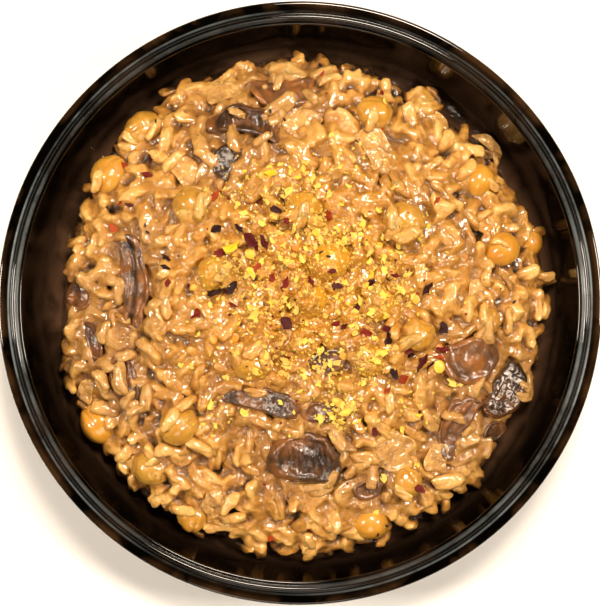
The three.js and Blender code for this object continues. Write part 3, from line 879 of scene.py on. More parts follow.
def with_melted_yeast(tree, yeast, colour, golden):
    """A colour stained golden where yeast has melted in."""
    melted = add_node(tree, MATH, {0: yeast, 1: 0.9}, operation="MULTIPLY")
    return add_node(tree, MIX, {SHARE: melted, UNDER: colour, OVER: golden}, data_type="RGBA")


def with_yeast_dust(tree, place, yeast, colour, crumb, level):
    """A colour under fine crumbs of yeast; a lower level leaves more of them."""
    dust = add_node(tree, NOISE, {"Vector": place, "Scale": per_mm(YEAST_CRUMB), "Detail": 2})
    crumbs = add_node(tree, RANGE, {"Value": dust, "From Min": level, "From Max": level + 0.08,
                                    "To Max": 0.7})
    dusted = add_node(tree, MATH, {0: crumbs, 1: yeast}, operation="MULTIPLY")
    return add_node(tree, MIX, {SHARE: dusted, UNDER: colour, OVER: crumb}, data_type="RGBA")


def waves(tree, place, size, depth, strength, detail=2, distortion=0.0):
    """The facing of a skin or a wet film whose waves have this size and depth, in millimetres."""
    swell = add_node(tree, NOISE, {"Vector": place, "Scale": per_mm(size), "Detail": detail,
                                   "Distortion": distortion})
    return add_node(tree, BUMP, {"Height": swell, "Strength": strength, "Distance": depth * MM})


print("a crumb of yeast is about", YEAST_CRUMB, "mm across")

# %% Rice material
creamy_rice, tree, shader, place, tone, yeast, juice_and_shade = new_material(
    "creamy_risotto", ("place", "tone", "yeast", "juice_and_shade"), Roughness=0.4, IOR=1.42,
    Subsurface_Weight=0.5, Subsurface_Scale=MM, Subsurface_Radius=(1.8, 1.2, 0.5),
    Coat_Weight=1.0, Coat_Roughness=0.03, Coat_IOR=1.55)
# the darkest stops are the joints: partly thick sauce, partly painted shade
body = add_node(tree, RAMP, {"Fac": uneven(tree, place, tone, 11, 2)},
                [(0.06, "#2a180b"), (0.27, "#885e2b"), (0.58, "#bb873a"), (0.93, "#e2b366")])
# browner round the mushrooms: partly their juice, partly painted shade
juice_and_shade_share = add_node(tree, MATH, {0: juice_and_shade, 1: 0.45}, operation="MULTIPLY")
brown = add_node(tree, MIX, {SHARE: juice_and_shade_share, UNDER: body, OVER: "#86603a"}, data_type="RGBA")
golden = with_melted_yeast(tree, yeast, brown, "#b27412")
grainy = mottled(tree, place, golden, 2.2, 0.15, "#e9d8c4")
colour = with_yeast_dust(tree, place, yeast, grainy, "#dfb042", 0.52)
ripples = waves(tree, place, 1.6, 0.5, 0.6, distortion=1.5)
wet = waves(tree, place, 2.4, 0.6, 0.6, detail=1, distortion=0.8)
set_inputs(shader, {"Base Color": colour, "Normal": ripples, "Coat Normal": wet})
bed.data.materials.clear()
bed.data.materials.append(creamy_rice)
bed.data.polygons.foreach_set("use_smooth", [True] * len(bed.data.polygons))
set_rice_tones_and_painted_shade(bed)
finish_piece(bed, "rice", "risotto")
print("rice nodes:", len(tree.nodes))

# %% [markdown]
# ## Rice: loose grains on top
# Some grains lie on top with their own outline, and a few of them on the chickpeas and slices. The
# first are strewn evenly and keep off the toppings. The others have places of their own, or cling to
# the sauced side of a chickpea, and are dropped on whatever lies there.

# %% A ray from above finds the surface
RAY_START = 200


def surface_tree(pieces):
    """One search tree over several meshes."""
    points, faces = [], []
    for piece in pieces:
        start = len(points)
        points += [v.co.copy() for v in piece.data.vertices]
        faces += [tuple(start + i for i in p.vertices) for p in piece.data.polygons]
    return BVHTree.FromPolygons(points, faces)


def drop_on(tree, x, y):
    """Place (mm) and facing where something dropped at x, y comes to lie."""
    hit, normal, _, _ = tree.ray_cast(Vector((x * MM, y * MM, RAY_START * MM)), Vector((0, 0, -1)))
    if hit is None:
        return None, None
    return np.array(hit) / MM, Vector((normal.x, normal.y, abs(normal.z) + 0.5)).normalized()


print("rays start", RAY_START, "mm up")

# %% Loose grains
CROWN = 32.4  # a grain on anything higher would stand above the heap
LOOSE_LAYER = 105, 23, 0.9, 0.26, 1.4, 1.6, 0.9  # as the rows of GRAIN_LAYERS
CLINGING = 3.6  # grains that cling to a chickpea with no clean side
COVER_GRAINS = [
    (44.8, -10.8, 5.4, 10), (44, -32.7, 7.1, -15), (36.8, -33.3, 7.9, -60), (25.2, -28.2, 6.3, 90),
    (42.6, -51.2, 10.1, 8), (-51.7, 3.3, 8.2, 85), (-56.2, -8.3, 6.5, 70), (-49.9, -15.1, 6.8, 10),
    (-51.4, -21.3, 9.8, 95), (-43.7, -27.1, 9, 80), (-32.4, -28.7, 7.1, 35), (-31.7, -25.8, 5.4, -60),
    (-56.8, -22.4, 7.1, -60), (-42.3, 50, 7.1, 60), (-38.5, 46.6, 8.2, 75), (-40.6, 51.8, 6, 10),
    (-27.4, 37.9, 9.5, 55), (-36.2, 40.6, 8.2, 45), (-47.2, 33.8, 5.4, 55), (-50.9, -4.4, 6, -30),
    (-54.4, -0.4, 6, 30), (-47, -30.6, 5.4, 20), (52.5, 24.9, 6.5, 30), (57.1, 17, 4.9, -20),
    (65.2, -24.4, 5.4, -35), (64.6, -27, 6.5, -20), (48.3, -7.8, 6, 30), (-2.7, -36.5, 6.5, -20),
    (0.1, -26.8, 7.1, 12), (-12.5, -25.2, 6.5, -8), (8.8, -50.4, 6, 60), (-14, -47.4, 6.5, -30),
    (4.6, -53, 10.2, 4), (12.8, -49.6, 5.6, 20), (10.6, -38.6, 8, -60), (13.4, -40.8, 6.4, -30),
    (-17.4, -43.1, 7.1, 70), (8.7, 64.3, 7.1, 20), (3, 59.1, 7.6, -40), (26.9, -7.7, 6, 60),
    (48.6, -36.4, 6, 50), (-18.1, 54.2, 5.4, -20), (-10.6, 46.5, 6, 35), (-21.9, 35.1, 6.5, 60),
    (-47.7, -11.2, 7.1, 75), (-49.3, -27.7, 6.5, 60), (-4.6, 67.6, 9.4, 8), (-1.4, 66.4, 9, -38),
    (-4, 65.2, 9.6, -12), (-6.2, 63.2, 5.4, 70), (-5.8, 56.6, 10.8, 30), (36.6, 63.6, 10.4, -30),
    (39.4, 60.4, 7, -60), (31.6, 53.6, 9.6, -80), (41.4, 46, 9, 60), (55.8, 43.6, 6, -20),
    (47.6, 37.8, 8.6, 50), (55.4, 34, 6.4, -40), (60, 21.6, 6.6, 0), (69.4, 21, 6.4, 10),
    (65, 8.6, 9, 15), (71.4, 7.8, 6.4, 0), (53.4, 8.2, 7, 80), (-66.8, -27, 8, 70),
    (-50, -43, 8.6, 40), (-55, -47.6, 7.4, -20), (-44.4, -59, 8, 60), (-36.8, -42.4, 9.4, -8),
    (-28.6, -41, 8.4, -30), (-24.2, -44, 10, 70), (-36.2, -66.4, 5.6, -60), (-38.6, -53.6, 7, 20),
]  # x, y, length, turn
toppings = [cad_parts[n] for n in pea_nodes + slice_nodes]
covered = surface_tree([bed] + toppings)
top_places, top_turns, top_scales = lay_grains(*LOOSE_LAYER)
dropped = list(COVER_GRAINS)
draw = np.random.default_rng(8)
for name, clean in zip(pea_nodes, CLEAN):
    low, high = topping_boxes[name]
    middle, radius = (low + high) / 2, (high - low)[2] / 2
    for _ in range(round(CLINGING * (1 - clean))):
        angle = math.atan2(-middle[1], -middle[0]) + draw.normal(0, 0.9)
        reach = draw.uniform(0.5, 0.85) * radius
        x, y = middle[:2] + reach * np.array([math.cos(angle), math.sin(angle)])
        dropped.append((x, y, draw.uniform(6.0, 8.5), draw.uniform(0, 180)))
for x, y, length, turn in dropped:
    hit, normal = drop_on(covered, x, y)
    if hit is None or hit[2] > CROWN:
        continue
    top_places.append(hit + np.array(normal) * 0.4)
    facing = Vector((0, 0, 1)).rotation_difference(normal).to_matrix()
    top_turns.append((facing @ Matrix.Rotation(math.radians(turn), 3, "Z")).to_euler())
    top_scales.append(length / GRAIN_LENGTH)
loose = strew("rice_grains", loose_grains, top_places, top_turns, top_scales, creamy_rice, seed=5)
fold_surface(loose, FOLD_SIZE, 0.22)
keep_in_dish(loose)
set_rice_tones_and_painted_shade(loose, -0.14)
finish_piece(loose, "rice")
for shape in bed_grains + loose_grains:
    bpy.data.objects.remove(shape)
print("loose grains:", len(top_places), "triangles:", triangles_in(loose))

# %% [markdown]
# ## Chickpeas
# A boiled chickpea is a round bean with a blunt beak, a groove that runs from the beak between its two
# halves, and a thin skin that wrinkles a little. Each is a fine ball shaped by those four things, with
# its own turn, so no two look alike. The skin is matt and lets light into the flesh, and the thin sauce
# over it gives one soft highlight.

# %% Chickpea material
pea_skin, tree, shader, place, tone, cleft_shade, yeast = new_material(
    "boiled_chickpea_skin", ("place", "tone", "cleft_shade", "yeast"), Roughness=0.36, IOR=1.42,
    Subsurface_Weight=0.35, Subsurface_Scale=MM, Subsurface_Radius=(2.2, 1.4, 0.5),
    Coat_Weight=0.9, Coat_Roughness=0.1, Coat_IOR=1.5)
skin = add_node(tree, RAMP, {"Fac": tone}, [(0.0, "#b6883c"), (0.5, "#c2943c"), (1.0, "#d69832")])
patchy = mottled(tree, place, skin, 4, 0.2, "#dcc8ae")
# the cleft is painted darker: painted shade in the crease
cleft_shaded = add_node(tree, MIX, {SHARE: cleft_shade, UNDER: patchy, OVER: "#b67a38"}, data_type="RGBA")
golden = with_melted_yeast(tree, yeast, cleft_shaded, "#cf8e14")
colour = with_yeast_dust(tree, place, yeast, golden, "#dfb848", 0.54)
sauce = add_node(tree, RANGE, {"Value": tone, "To Min": 0.8, "To Max": 0.2})
wrinkles = waves(tree, place, 1.8, 0.4, sauce, detail=3)
set_inputs(shader, {"Base Color": colour, "Normal": wrinkles})
print("skin nodes:", len(tree.nodes))


# %% Shape of a chickpea
def chickpea(name, centre, radius, beak_turn, seed, clean):
    """A fine ball with a beak, a cleft between two lobes and dents; a clean one is smoother."""
    points, faces = ball_grid(44, 32)
    # the beak points along X, and the cleft runs from it between the lobes
    beak = 0.15 * np.maximum(0, points[:, 0]) ** 7
    cleft_depth = 0.05 + 0.035 * math.sin(seed * 1.7)
    cleft = np.exp(-(points[:, 1] / 0.1) ** 2) * smooth_step(points[:, 0] * 0.9 + 0.3)
    lobes = 0.03 * np.abs(points[:, 1]) * smooth_step(points[:, 0])
    reach = 0.975 + beak - cleft_depth * cleft + lobes
    # broad dents, and finer lumps where rice and sauce cling to it
    for i, point in enumerate(points):
        spot = Vector(point) * 1.6 + Vector((seed * 5.3, 1.1, 0))
        reach[i] += 0.035 * noise.noise(spot) + blend(0.12, 0.01, clean) * noise.noise(spot * 2.6)
    # each lies its own way, with its beak a little up
    roll = Matrix.Rotation(0.9 * math.sin(seed * 2.9), 3, "X")
    pitch = Matrix.Rotation(-0.22 - 0.25 * math.sin(seed * 1.3), 3, "Y")
    spin = Matrix.Rotation(math.radians(beak_turn), 3, "Z")
    shaped = points * reach[:, None] * radius * np.array([1.0, 0.98, 0.97])
    shaped = shaped @ np.array(spin @ pitch @ roll).T + np.array(centre)
    piece = make_object(name, shaped, faces, pea_skin)
    put_attribute(piece, "tone", np.full(len(points), clean))
    put_attribute(piece, "cleft_shade", np.clip(cleft * 0.5, 0, 1))
    put_attribute(piece, "yeast", yeast_share(shaped))
    return piece


# each chickpea's beak points its own way, in degrees
BEAK_TURNS = [200, 60, 300, 250, 150, 120, 350, 10, 240, 215, 90, 135,
              30, 330, 270, 100, 200, 315, 20, 80, 265, 190, 180, 45]
for i, (name, beak_turn, clean) in enumerate(zip(pea_nodes, BEAK_TURNS, CLEAN)):
    low, high = topping_boxes[name]
    piece = chickpea(name + "_bean", (low + high) / 2, (high - low)[2] * 0.52, beak_turn, i + 1, clean)
    finish_piece(piece, "chickpea", name)
print("chickpeas:", len(pea_nodes))

# %% [markdown]
# ## Mushrooms
# Slices of brown mushroom cook down to limp, wet, dark strips: a cap's rim is a thick smooth edge, the
# cut face is paler with dark gills, and every slice waves. Each is a flattened ball that is draped
# over the heap, with ripples along it, a raised rim, gills or fine folds. The wet flesh is nearly black
# and catches the lamps in small, hard glints. Its hollow and its split are painted dark, as painted
# shade, and a folded skin gets pale silvery streaks painted into its colour, as painted highlights.

# %% Mushroom material
mushroom_flesh, tree, shader, place, tone, shade, wrinkled = new_material(
    "cooked_mushroom", ("place", "tone", "shade", "folds"), Roughness=0.34, IOR=1.42,
    Subsurface_Weight=0.12, Subsurface_Scale=MM, Subsurface_Radius=(1.4, 0.7, 0.4),
    Coat_Roughness=0.08, Coat_IOR=1.7)
flesh = add_node(tree, RAMP, {"Fac": uneven(tree, place, tone, 5, 4)}, [
    (0.0, "#100b08"), (0.3, "#281a10"), (0.6, "#583a24"), (0.85, "#865c3a"), (1.0, "#9c744c")])
stain = add_node(tree, NOISE, {"Vector": place, "Scale": per_mm(6), "Detail": 2})
browned = add_node(tree, RANGE, {"Value": stain, "From Min": 0.42, "From Max": 0.62, "To Max": 1.1})
tanned = add_node(tree, MATH, {0: browned, 1: tone}, operation="MULTIPLY")
warm = add_node(tree, MIX, {SHARE: tanned, UNDER: flesh, OVER: "#a0622a"}, data_type="RGBA")
# dark gills and rim lines of the flesh, and painted shade in the hollow and the split
dark = add_node(tree, MIX, {SHARE: shade, UNDER: warm, OVER: "#1a110c"}, data_type="RGBA")
# pale silvery streaks along the crests of a noise, strongest on folded skins: painted highlights
ridges = add_node(tree, NOISE, {"Vector": place, "Scale": per_mm(2.6), "Detail": 3,
                                "Distortion": 1.8})
glint_crests = add_node(tree, RANGE, {"Value": ridges, "From Min": 0.5, "From Max": 0.6})
glint_share = add_node(tree, RANGE, {"Value": wrinkled, "From Min": 0.3, "From Max": 1.2})
painted_silver_glints = add_node(tree, MATH, {0: glint_crests, 1: glint_share}, operation="MULTIPLY")
colour = add_node(tree, MIX, {SHARE: painted_silver_glints, UNDER: dark, OVER: "#ddd2ca"}, data_type="RGBA")
roughness = add_node(tree, RANGE, {"Value": wrinkled, "To Min": 0.2, "To Max": 1.0})
skin = waves(tree, place, 1.3, 0.6, roughness, detail=3, distortion=1.0)
wet = waves(tree, place, 2.4, 1.2, roughness, distortion=2.0)
juicy = add_node(tree, RANGE, {"Value": shade, "To Min": 0.6, "To Max": 0.2})
set_inputs(shader, {"Base Color": colour, "Normal": skin, "Coat Normal": wet, "Coat Weight": juicy})
print("flesh nodes:", len(tree.nodes))


# %% A slice draped over the heap
def draped_slice(name, row, material, sides, steps, edge, corner, shape):
    """A soft slice that follows the heap; shape returns extra height and the darkness of each point.

    Edge and corner are 1 where they are round and lower where they are cut."""
    x, y, length, width, thickness, turn, bend, rise, waves_along = row
    points, faces = ball_grid(sides, steps)
    cosine, sine = math.cos(math.radians(turn)), math.sin(math.radians(turn))
    along = blunt(points[:, 0], corner) * length / 2
    across = blunt(points[:, 1], corner) * width / 2 + bend * (1 - 2 * points[:, 0] ** 2)
    wave = 0.16 * thickness * np.sin(waves_along * math.pi * points[:, 0] * 1.5)
    extra, shade = shape(points, along, across)
    # lumps in its thickness, and an outline that wanders by up to a millimetre
    for i in range(len(points)):
        spot = Vector((along[i] * 0.22 + x * 0.37, across[i] * 0.22 + y * 0.11, points[i][2] * 0.3))
        extra[i] += thickness * 0.25 * (noise.noise(spot) + 0.4 * noise.noise(spot * 2.7))
        along[i] += noise.noise(spot + Vector((7, 3, 1)))
        across[i] += noise.noise(spot + Vector((1, 9, 4)))
    world_x = x + along * cosine - across * sine
    world_y = y + along * sine + across * cosine
    lift = blunt(points[:, 2], edge) * thickness / 2 + wave + extra
    height = drape_height(world_x, world_y) + rise + lift
    piece = make_object(name, np.stack([world_x, world_y, height], 1), faces, material)
    put_attribute(piece, "shade", shade)
    return piece


print("a slice falls", EDGE_FALL, "mm for each millimetre past the heap's edge")

# %% Mushroom slices
MUSHROOMS = [
    (-4.6, 61.6, 19, 9.6, 4.6, 4, -1.2, 0.5, 1, 0.7, 0.1, 0.1, 0),
    (-16.1, 50.6, 21, 8.4, 3.6, -9, 2.2, 1.2, 2, 0.42, 0.8, 0.1, 0),
    (-20.6, 40.6, 11, 7.4, 3.6, 62, 1.2, 0.6, 1, 0.14, 0.2, 0.6, 0),
    (-48.2, 6, 29, 8.2, 3.4, -86, 1, 0.4, 1, 0.64, 0.1, 0.3, 0.9),
    (-49.6, -21.4, 18.4, 8.2, 3.4, -82, -1.2, 0.4, 1, 0.62, 0.1, 0.2, 0.7),
    (-64.2, 2, 9, 8.4, 4, 80, 0, -1, 0, 0.6, 0.1, 0.1, 0),
    (-60.2, -11.8, 13.6, 4.2, 3, -78, 0.6, 0, 0, 0.5, 0.1, 0.1, 0),
    (48.6, -15.4, 17.6, 13.4, 4.6, 24, -1.2, 1.2, 1, 0.66, 0.1, 0.0, 0),
    (59.4, -25.4, 17.6, 10.4, 5, 62, -1, 1.4, 2, 0.3, 0.1, 1.4, 0),
    (46.4, -35, 22, 8.2, 4, 58, 2.2, 0.2, 1, 0.7, 0.2, 0.2, 0.4),
    (1.4, -45.4, 21.6, 14.6, 5.6, -12, 1.4, 0.8, 0, 0.5, 1.0, 0.1, 0),
    (-10.5, -28.4, 23, 6.6, 3, -12, 1, 0.4, 1, 0.45, 0.3, 0.6, 0),
    (6.6, -31.6, 13, 6.2, 3, -6, 0.6, 0.5, 0, 0.6, 0.1, 0.1, 0),
    (8.4, -16.4, 10.6, 7.6, 3, 20, 0, 0.4, 0, 0.5, 0.1, 0.1, 0),
    (19.4, -53.6, 8, 6.6, 3, 15, 0, 0.2, 0, 0.7, 0.1, 0.1, 0),
    (56.6, -37.2, 8, 5.4, 3.2, 30, 0, 0.6, 0, 0.3, 0.1, 0.2, 0),
]  # x, y, length, width, thickness, turn, bend, rise, waves, then tone, gills, folds and split


def mushroom_shape(gills, folds, split):
    """A raised rim, a dished middle with gills across it, folds on the upper side and a split along it."""
    def shape(points, along, across):
        upper = smooth_step(points[:, 2] * 2)
        out = np.clip(np.hypot(points[:, 0], points[:, 1]), 0, 1)
        inside = 1 - smooth_step((out - 0.45) / 0.3)
        # the dished middle, its gills, and the hollow where the stalk came out
        hollow = gills * upper * np.exp(-((points[:, 0] - 0.3) / 0.3) ** 2
                                        - ((points[:, 1] - 0.1) / 0.4) ** 2)
        extra = -1.0 * upper * (1 - smooth_step((out - 0.5) / 0.3)) * (0.6 + 0.4 * gills)
        extra += 0.3 * gills * np.sin(along * 3.2 + across) * inside * upper - 0.9 * hollow
        # fine folds of a shrunken skin
        for i in range(len(points)):
            fold = abs(noise.noise(Vector((along[i] * 0.45, across[i] * 0.7, 4.2))))
            extra[i] += folds * upper[i] * (1.1 * fold - 0.3)
        # a crooked split along it
        crooked = points[:, 1] + 0.08 + 0.1 * np.sin(3 * points[:, 0])
        trench = split * upper * np.exp(-(crooked / 0.13) ** 2) * (1 - smooth_step((out - 0.8) / 0.15))
        extra -= 1.3 * trench
        # darkness: a line inside the rim and the gills, and painted shade in the hollow and the split
        line = np.exp(-((out - 0.68) / 0.06) ** 2) + 0.5 * smooth_step((out - 0.93) / 0.07)
        streaks = 0.5 + 0.5 * np.sin(along * 3.2 + across)
        shade = (0.5 * gills * inside * streaks + 0.45 * line) * upper + 0.9 * hollow + trench
        return extra, np.clip(shade, 0, 1)
    return shape


SIDES, STEPS = 56, 60
slice_points = ball_grid(SIDES, STEPS)[0]
off_rim = 1 - smooth_step((np.hypot(slice_points[:, 0], slice_points[:, 1]) - 0.66) / 0.26)
for i, row in enumerate(MUSHROOMS):
    node_name = "mushroom_%02d" % (i + 1)
    tone, gills, folds, split = row[9:]
    piece = draped_slice(node_name + "_slice", row[:9], mushroom_flesh, SIDES, STEPS, edge=0.7,
                         corner=0.85, shape=mushroom_shape(gills, folds, split))
    put_attribute(piece, "tone", np.full(len(slice_points), tone))
    put_attribute(piece, "folds", folds * off_rim)
    finish_piece(piece, "mushroom", node_name)
print("mushroom slices:", len(MUSHROOMS))

# %% [markdown]
# ## Onion
# Onion sweated in oil turns limp and see-through, with fine veins that run along each scale. The
# pieces are thin and they bend over the rice below. Light goes deep into them and the sauce tints them,
# so they look like warm, wet glass among the duller grains.

# %% Onion material
onion_flesh, tree, shader, place, veins = new_material(
    "sweated_onion", ("place", "shade"), Roughness=0.3, IOR=1.4, Subsurface_Weight=0.5,
    Subsurface_Scale=MM, Subsurface_Radius=(2.4, 1.7, 0.8), Coat_Weight=1.0, Coat_Roughness=0.06,
    Coat_IOR=1.6)
patches = add_node(tree, NOISE, {"Vector": place, "Scale": per_mm(5), "Detail": 3})
body = add_node(tree, RAMP, {"Fac": patches}, [(0.35, "#b4864a"), (0.65, "#dcaa60")])
# darker along the veins, and painted shade in the troughs of the folds
colour = add_node(tree, MIX, {SHARE: veins, UNDER: body, OVER: "#96663a"}, data_type="RGBA")
ripples = waves(tree, place, 2.8, 1.0, 0.8, distortion=0.8)
set_inputs(shader, {"Base Color": colour, "Normal": ripples, "Coat Normal": ripples})
print("onion nodes:", len(tree.nodes))

# %% Onion pieces
ONIONS = [
    (0.4, 51.6, 11, 8.4, 35, 0.6, 0.8), (20.6, 44.6, 12.6, 7.4, -65, 1.2, 0.9),
    (39.4, 52.8, 7.4, 4, -30, 0.6, 0.7), (27, -43.4, 12.6, 11.4, -20, 0.8, 1),
    (40, -44.8, 9.2, 6.2, 75, 0.6, 0.8), (-62, -25.6, 7.4, 5, 70, 0.4, 0.4),
    (-22.4, 61.6, 9.6, 7.4, 20, 0.6, 0.6), (-33.6, 37.6, 9, 7, -40, 0.8, 0.8),
    (50.4, 3.4, 7.4, 4.4, 80, 0.4, 0.8), (-24.4, -57.6, 8.4, 5.6, 60, 0.4, 0.6),
    (55.4, 45, 11, 3.6, -50, 1.4, 0.4),
]  # x, y, length, width, turn, bend, rise
ONION_THICKNESS = 2.2
PRESSED_IN = 0.4


def onion_shape(points, along, across):
    """Fine veins along the scale, a curled edge and folds; darker along the veins and, as painted shade,
    in the folds' troughs.
    """
    veins = np.sin(across * 3.4)
    curl = 0.5 * smooth_step((np.abs(points[:, 1]) - 0.5) / 0.5)
    folds = np.array([0.3 - abs(noise.noise(Vector((a * 0.34, b * 0.34, 2.2)))) * 2
                      for a, b in zip(along, across)])
    return 0.04 * veins + curl + 0.9 * folds, np.clip(0.12 + 0.14 * veins - 0.3 * folds, 0, 1)


for i, (x, y, length, width, turn, bend, rise) in enumerate(ONIONS):
    node_name = "onion_%02d" % (i + 1)
    row = x, y, length, width, ONION_THICKNESS, turn, bend, rise - PRESSED_IN, 0
    piece = draped_slice(node_name + "_scale", row, onion_flesh, 48, 40, edge=0.4, corner=0.62,
                         shape=onion_shape)
    finish_piece(piece, "onion", node_name)
print("onion pieces:", len(ONIONS))

# %% [markdown]
# ## What is strewn on top
# The flakes lie on whatever is highest, so their places are found by dropping a ray on the finished
# food. Yeast flakes are thin, yellow and crumbly, and lie in drifts over the middle. Chilli flakes are
# curled scraps of red skin, with pale round seeds among them, and pepper and herbs are mere specks.
# All of these are dry, so they look matt beside the wet rice.

# %% The finished food takes the flakes
FLAKE_TOP = CROWN + 3.2  # no flake stands higher than this, in millimetres
food = surface_tree([o for o in bpy.context.scene.objects
                     if o.type == "MESH" and not o.hide_render and o not in (dish, table)])


def flake_shape(name, seed, thickness, corners, curl, slim, spread=0.12, lift=0.0):
    """A thin uneven plate of unit length round the origin, curled."""
    draw = np.random.default_rng(seed)
    spins = np.linspace(0, 2 * math.pi, corners, endpoint=False) + draw.uniform(-0.2, 0.2, corners)
    reach = 0.5 - draw.uniform(0, 2 * spread, corners)
    points, faces = [], []
    for side in (1, -1):
        for share in (0.6, 1.0):
            for spin, far in zip(spins, reach):
                x, y = far * share * math.cos(spin), far * share * math.sin(spin) * slim
                bend = curl * (x * x - 0.08) + 0.1 * curl * math.sin(seed + 7 * y)
                edge = 0.4 if share == 1.0 else 1.0
                points.append((x, y, bend + side * thickness / 2 * edge))
        points.append((0, 0, side * thickness / 2 + lift - 0.08 * curl))
    per_side = 2 * corners + 1
    for side in range(2):
        base = side * per_side
        for j in range(corners):
            k = (j + 1) % corners
            fan = (base + 2 * corners, base + j, base + k)
            band = (base + j, base + corners + j, base + corners + k, base + k)
            faces += [fan, band] if side == 0 else [fan[::-1], band[::-1]]
    for j in range(corners):
        k = (j + 1) % corners
        faces.append((corners + j, per_side + corners + j, per_side + corners + k, corners + k))
    return make_object(name, points, faces)


def strew_on(tree, name, shapes, rows, material, seed, tilt=0.3, lift=0.12):
    """Drops shapes on the food; rows are x, y, size (mm) and tone."""
    draw = np.random.default_rng(seed)
    places, turns, scales, tones = [], [], [], []
    for x, y, size, tone in rows:
        spin, lean = draw.uniform(0, 2 * math.pi), draw.normal(0, tilt)
        hit, normal = drop_on(tree, x, y)
        if hit is None or hit[2] + 0.3 * size > FLAKE_TOP:
            continue
        level = Vector((normal.x, normal.y, normal.z + 0.15 * size))  # a wide flake bridges the slopes
        facing = Vector((0, 0, 1)).rotation_difference(level).to_matrix()
        turns.append((facing @ Matrix.Rotation(spin, 3, "Z") @ Matrix.Rotation(lean, 3, "X")).to_euler())
        places.append(hit + np.array(normal) * lift * size)
        scales.append(size)
        tones.append(tone)
    piece = strew(name, shapes, places, turns, scales, material, tones, seed, smooth=False)
    for shape in shapes:
        bpy.data.objects.remove(shape)
    print(name, "pieces:", len(places), "triangles:", triangles_in(piece))
    finish_piece(piece, "rice")


# %% Yeast flakes
yeast_flake, tree, shader, place, tone = new_material(
    "yeast_flake", ("place", "tone"), Roughness=0.55, IOR=1.4, Subsurface_Weight=0.25,
    Subsurface_Scale=MM, Subsurface_Radius=(1.2, 0.9, 0.2))
colour = add_node(tree, RAMP, {"Fac": tone},
                  [(0.0, "#cf9f48"), (0.45, "#e0b858"), (0.8, "#eac656"), (1.0, "#f0b818")])
set_inputs(shader, {"Base Color": colour, "Normal": waves(tree, place, 0.7, 0.25, 0.6, detail=3)})
DRIFTS = [
    (-17, 14, 6, 60), (-14, 4, 6, 50), (1, 36, 7, 60), (-9, 33, 6, 40), (5, 19, 8, 80),
    (13, 17, 6, 50), (25, 9, 6, 60), (16, 1, 7, 70), (-6, -17, 6, 40), (11, -30, 6, 130),
    (20, -17, 6, 80), (28, 2, 5, 50), (6, -16, 6, 60), (-20, 30, 6, 30), (32, 20, 5, 20),
    (-24, -32, 5, 25), (14, 42, 6, 20), (0, 6, 22, 520), (2, 2, 34, 130), (32, -28, 5, 20),
]  # x, y, spread, crumbs
YEAST_LARGE = [
    (-18.9, 15.8, 6.6, 1), (-13.7, 8.6, 5.2, 0.9), (-2.9, 31.7, 5, 0.75), (17.5, 22.8, 4.6, 0.85),
    (-16.2, 24.8, 3.8, 0.7), (-10.4, 22.6, 3.4, 0.8), (-9.4, 28.8, 3, 0.8), (-2.9, 11.5, 4.2, 0.8),
    (0.4, 12.2, 3.8, 0.8), (19.6, 12.2, 3.4, 0.8), (23.8, 12.6, 3.8, 0.8), (-4.5, 0.7, 3.6, 0.8),
    (10.2, 1.7, 3.6, 0.8), (-12.6, -4, 5.4, 0.8), (0.7, -11.1, 3.8, 0.8), (-4.3, -16.9, 4.6, 0.45),
    (-4.8, -19.6, 4, 0.4), (22, -14.5, 5.4, 0.85), (20.5, -15.9, 4.6, 0.8), (8.3, -17, 3.4, 0.7),
    (-8.6, 36.4, 4.4, 1), (1, 37.5, 4.4, 0.9), (-0.7, 35.5, 3.4, 0.9), (-15.1, 36.1, 3, 0.8),
    (22.4, 26.3, 3, 0.7), (27.7, 16.2, 3.2, 0.8), (-30.7, 4.1, 2.6, 0.7), (-25.3, -0.6, 2.8, 0.7),
    (-28.8, -8.6, 2.4, 0.7), (-33.5, -17.6, 2.6, 0.7), (-30.7, -17.8, 2.8, 0.7), (-25.6, -28.4, 4, 0.8),
    (-25.3, -29.6, 3, 0.8), (-15.5, -31, 4, 0.8), (-24.2, -34.6, 2.6, 0.8), (-12.3, -19, 4, 0.8),
    (43.1, -22.6, 4.6, 0.65), (29.4, -36.3, 3.4, 0.85), (23.9, -50.2, 3.8, 0.8), (4.4, 19, 3.4, 0.9),
    (12.8, 17.6, 3.6, 0.8), (17.1, 0.7, 4, 0.8), (24.1, 9.2, 3.6, 0.8), (28.4, 3.5, 3.8, 0.8),
    (5.8, -13.4, 3.8, 0.8), (20.7, -10, 3.4, 0.8), (10.3, -28.1, 5, 0.85), (12.9, -31, 5, 0.85),
    (8.6, -31.8, 4.4, 0.8), (11.7, -33.2, 4, 0.8), (14.8, -28.7, 3.6, 0.8), (21.7, -60.2, 3, 0.7),
    (24.2, 57.2, 2.4, 0.7), (33.3, -46.4, 2.8, 0.8), (5.2, -23, 3.2, 0.8), (0.1, -25.3, 3, 0.8),
    (17.6, -22.4, 3.4, 0.8), (14.8, -6.3, 3, 0.8), (12.8, 5.8, 3, 0.8), (8.6, 11.4, 3, 0.8),
    (-7.8, 17.6, 3.2, 0.8), (-10.6, 11.4, 3, 0.8), (3, 26.1, 3, 0.8), (8.1, 30.1, 2.8, 0.8),
    (13.7, 32.9, 3, 0.8),
]  # x, y, size, tone
FULLNESS = 1.3  # of a drift
FINEST, MEAN_GROWTH, COARSEST = 0.55, 0.68, 3.8  # sizes of the crumbs
draw = np.random.default_rng(5)
rows = list(YEAST_LARGE)
for x, y, spread, count in DRIFTS:
    for _ in range(int(count * FULLNESS)):
        size = min(COARSEST, FINEST + draw.exponential(MEAN_GROWTH))
        rows.append((x + draw.normal(0, spread * 0.6), y + draw.normal(0, spread * 0.6), size,
                     draw.uniform(0.1, 0.95)))
shapes = [flake_shape("yeast_%d" % i, 60 + i, thickness=0.12, corners=8, curl=0.7, slim=0.8, spread=0.2,
                      lift=0.03) for i in range(6)]
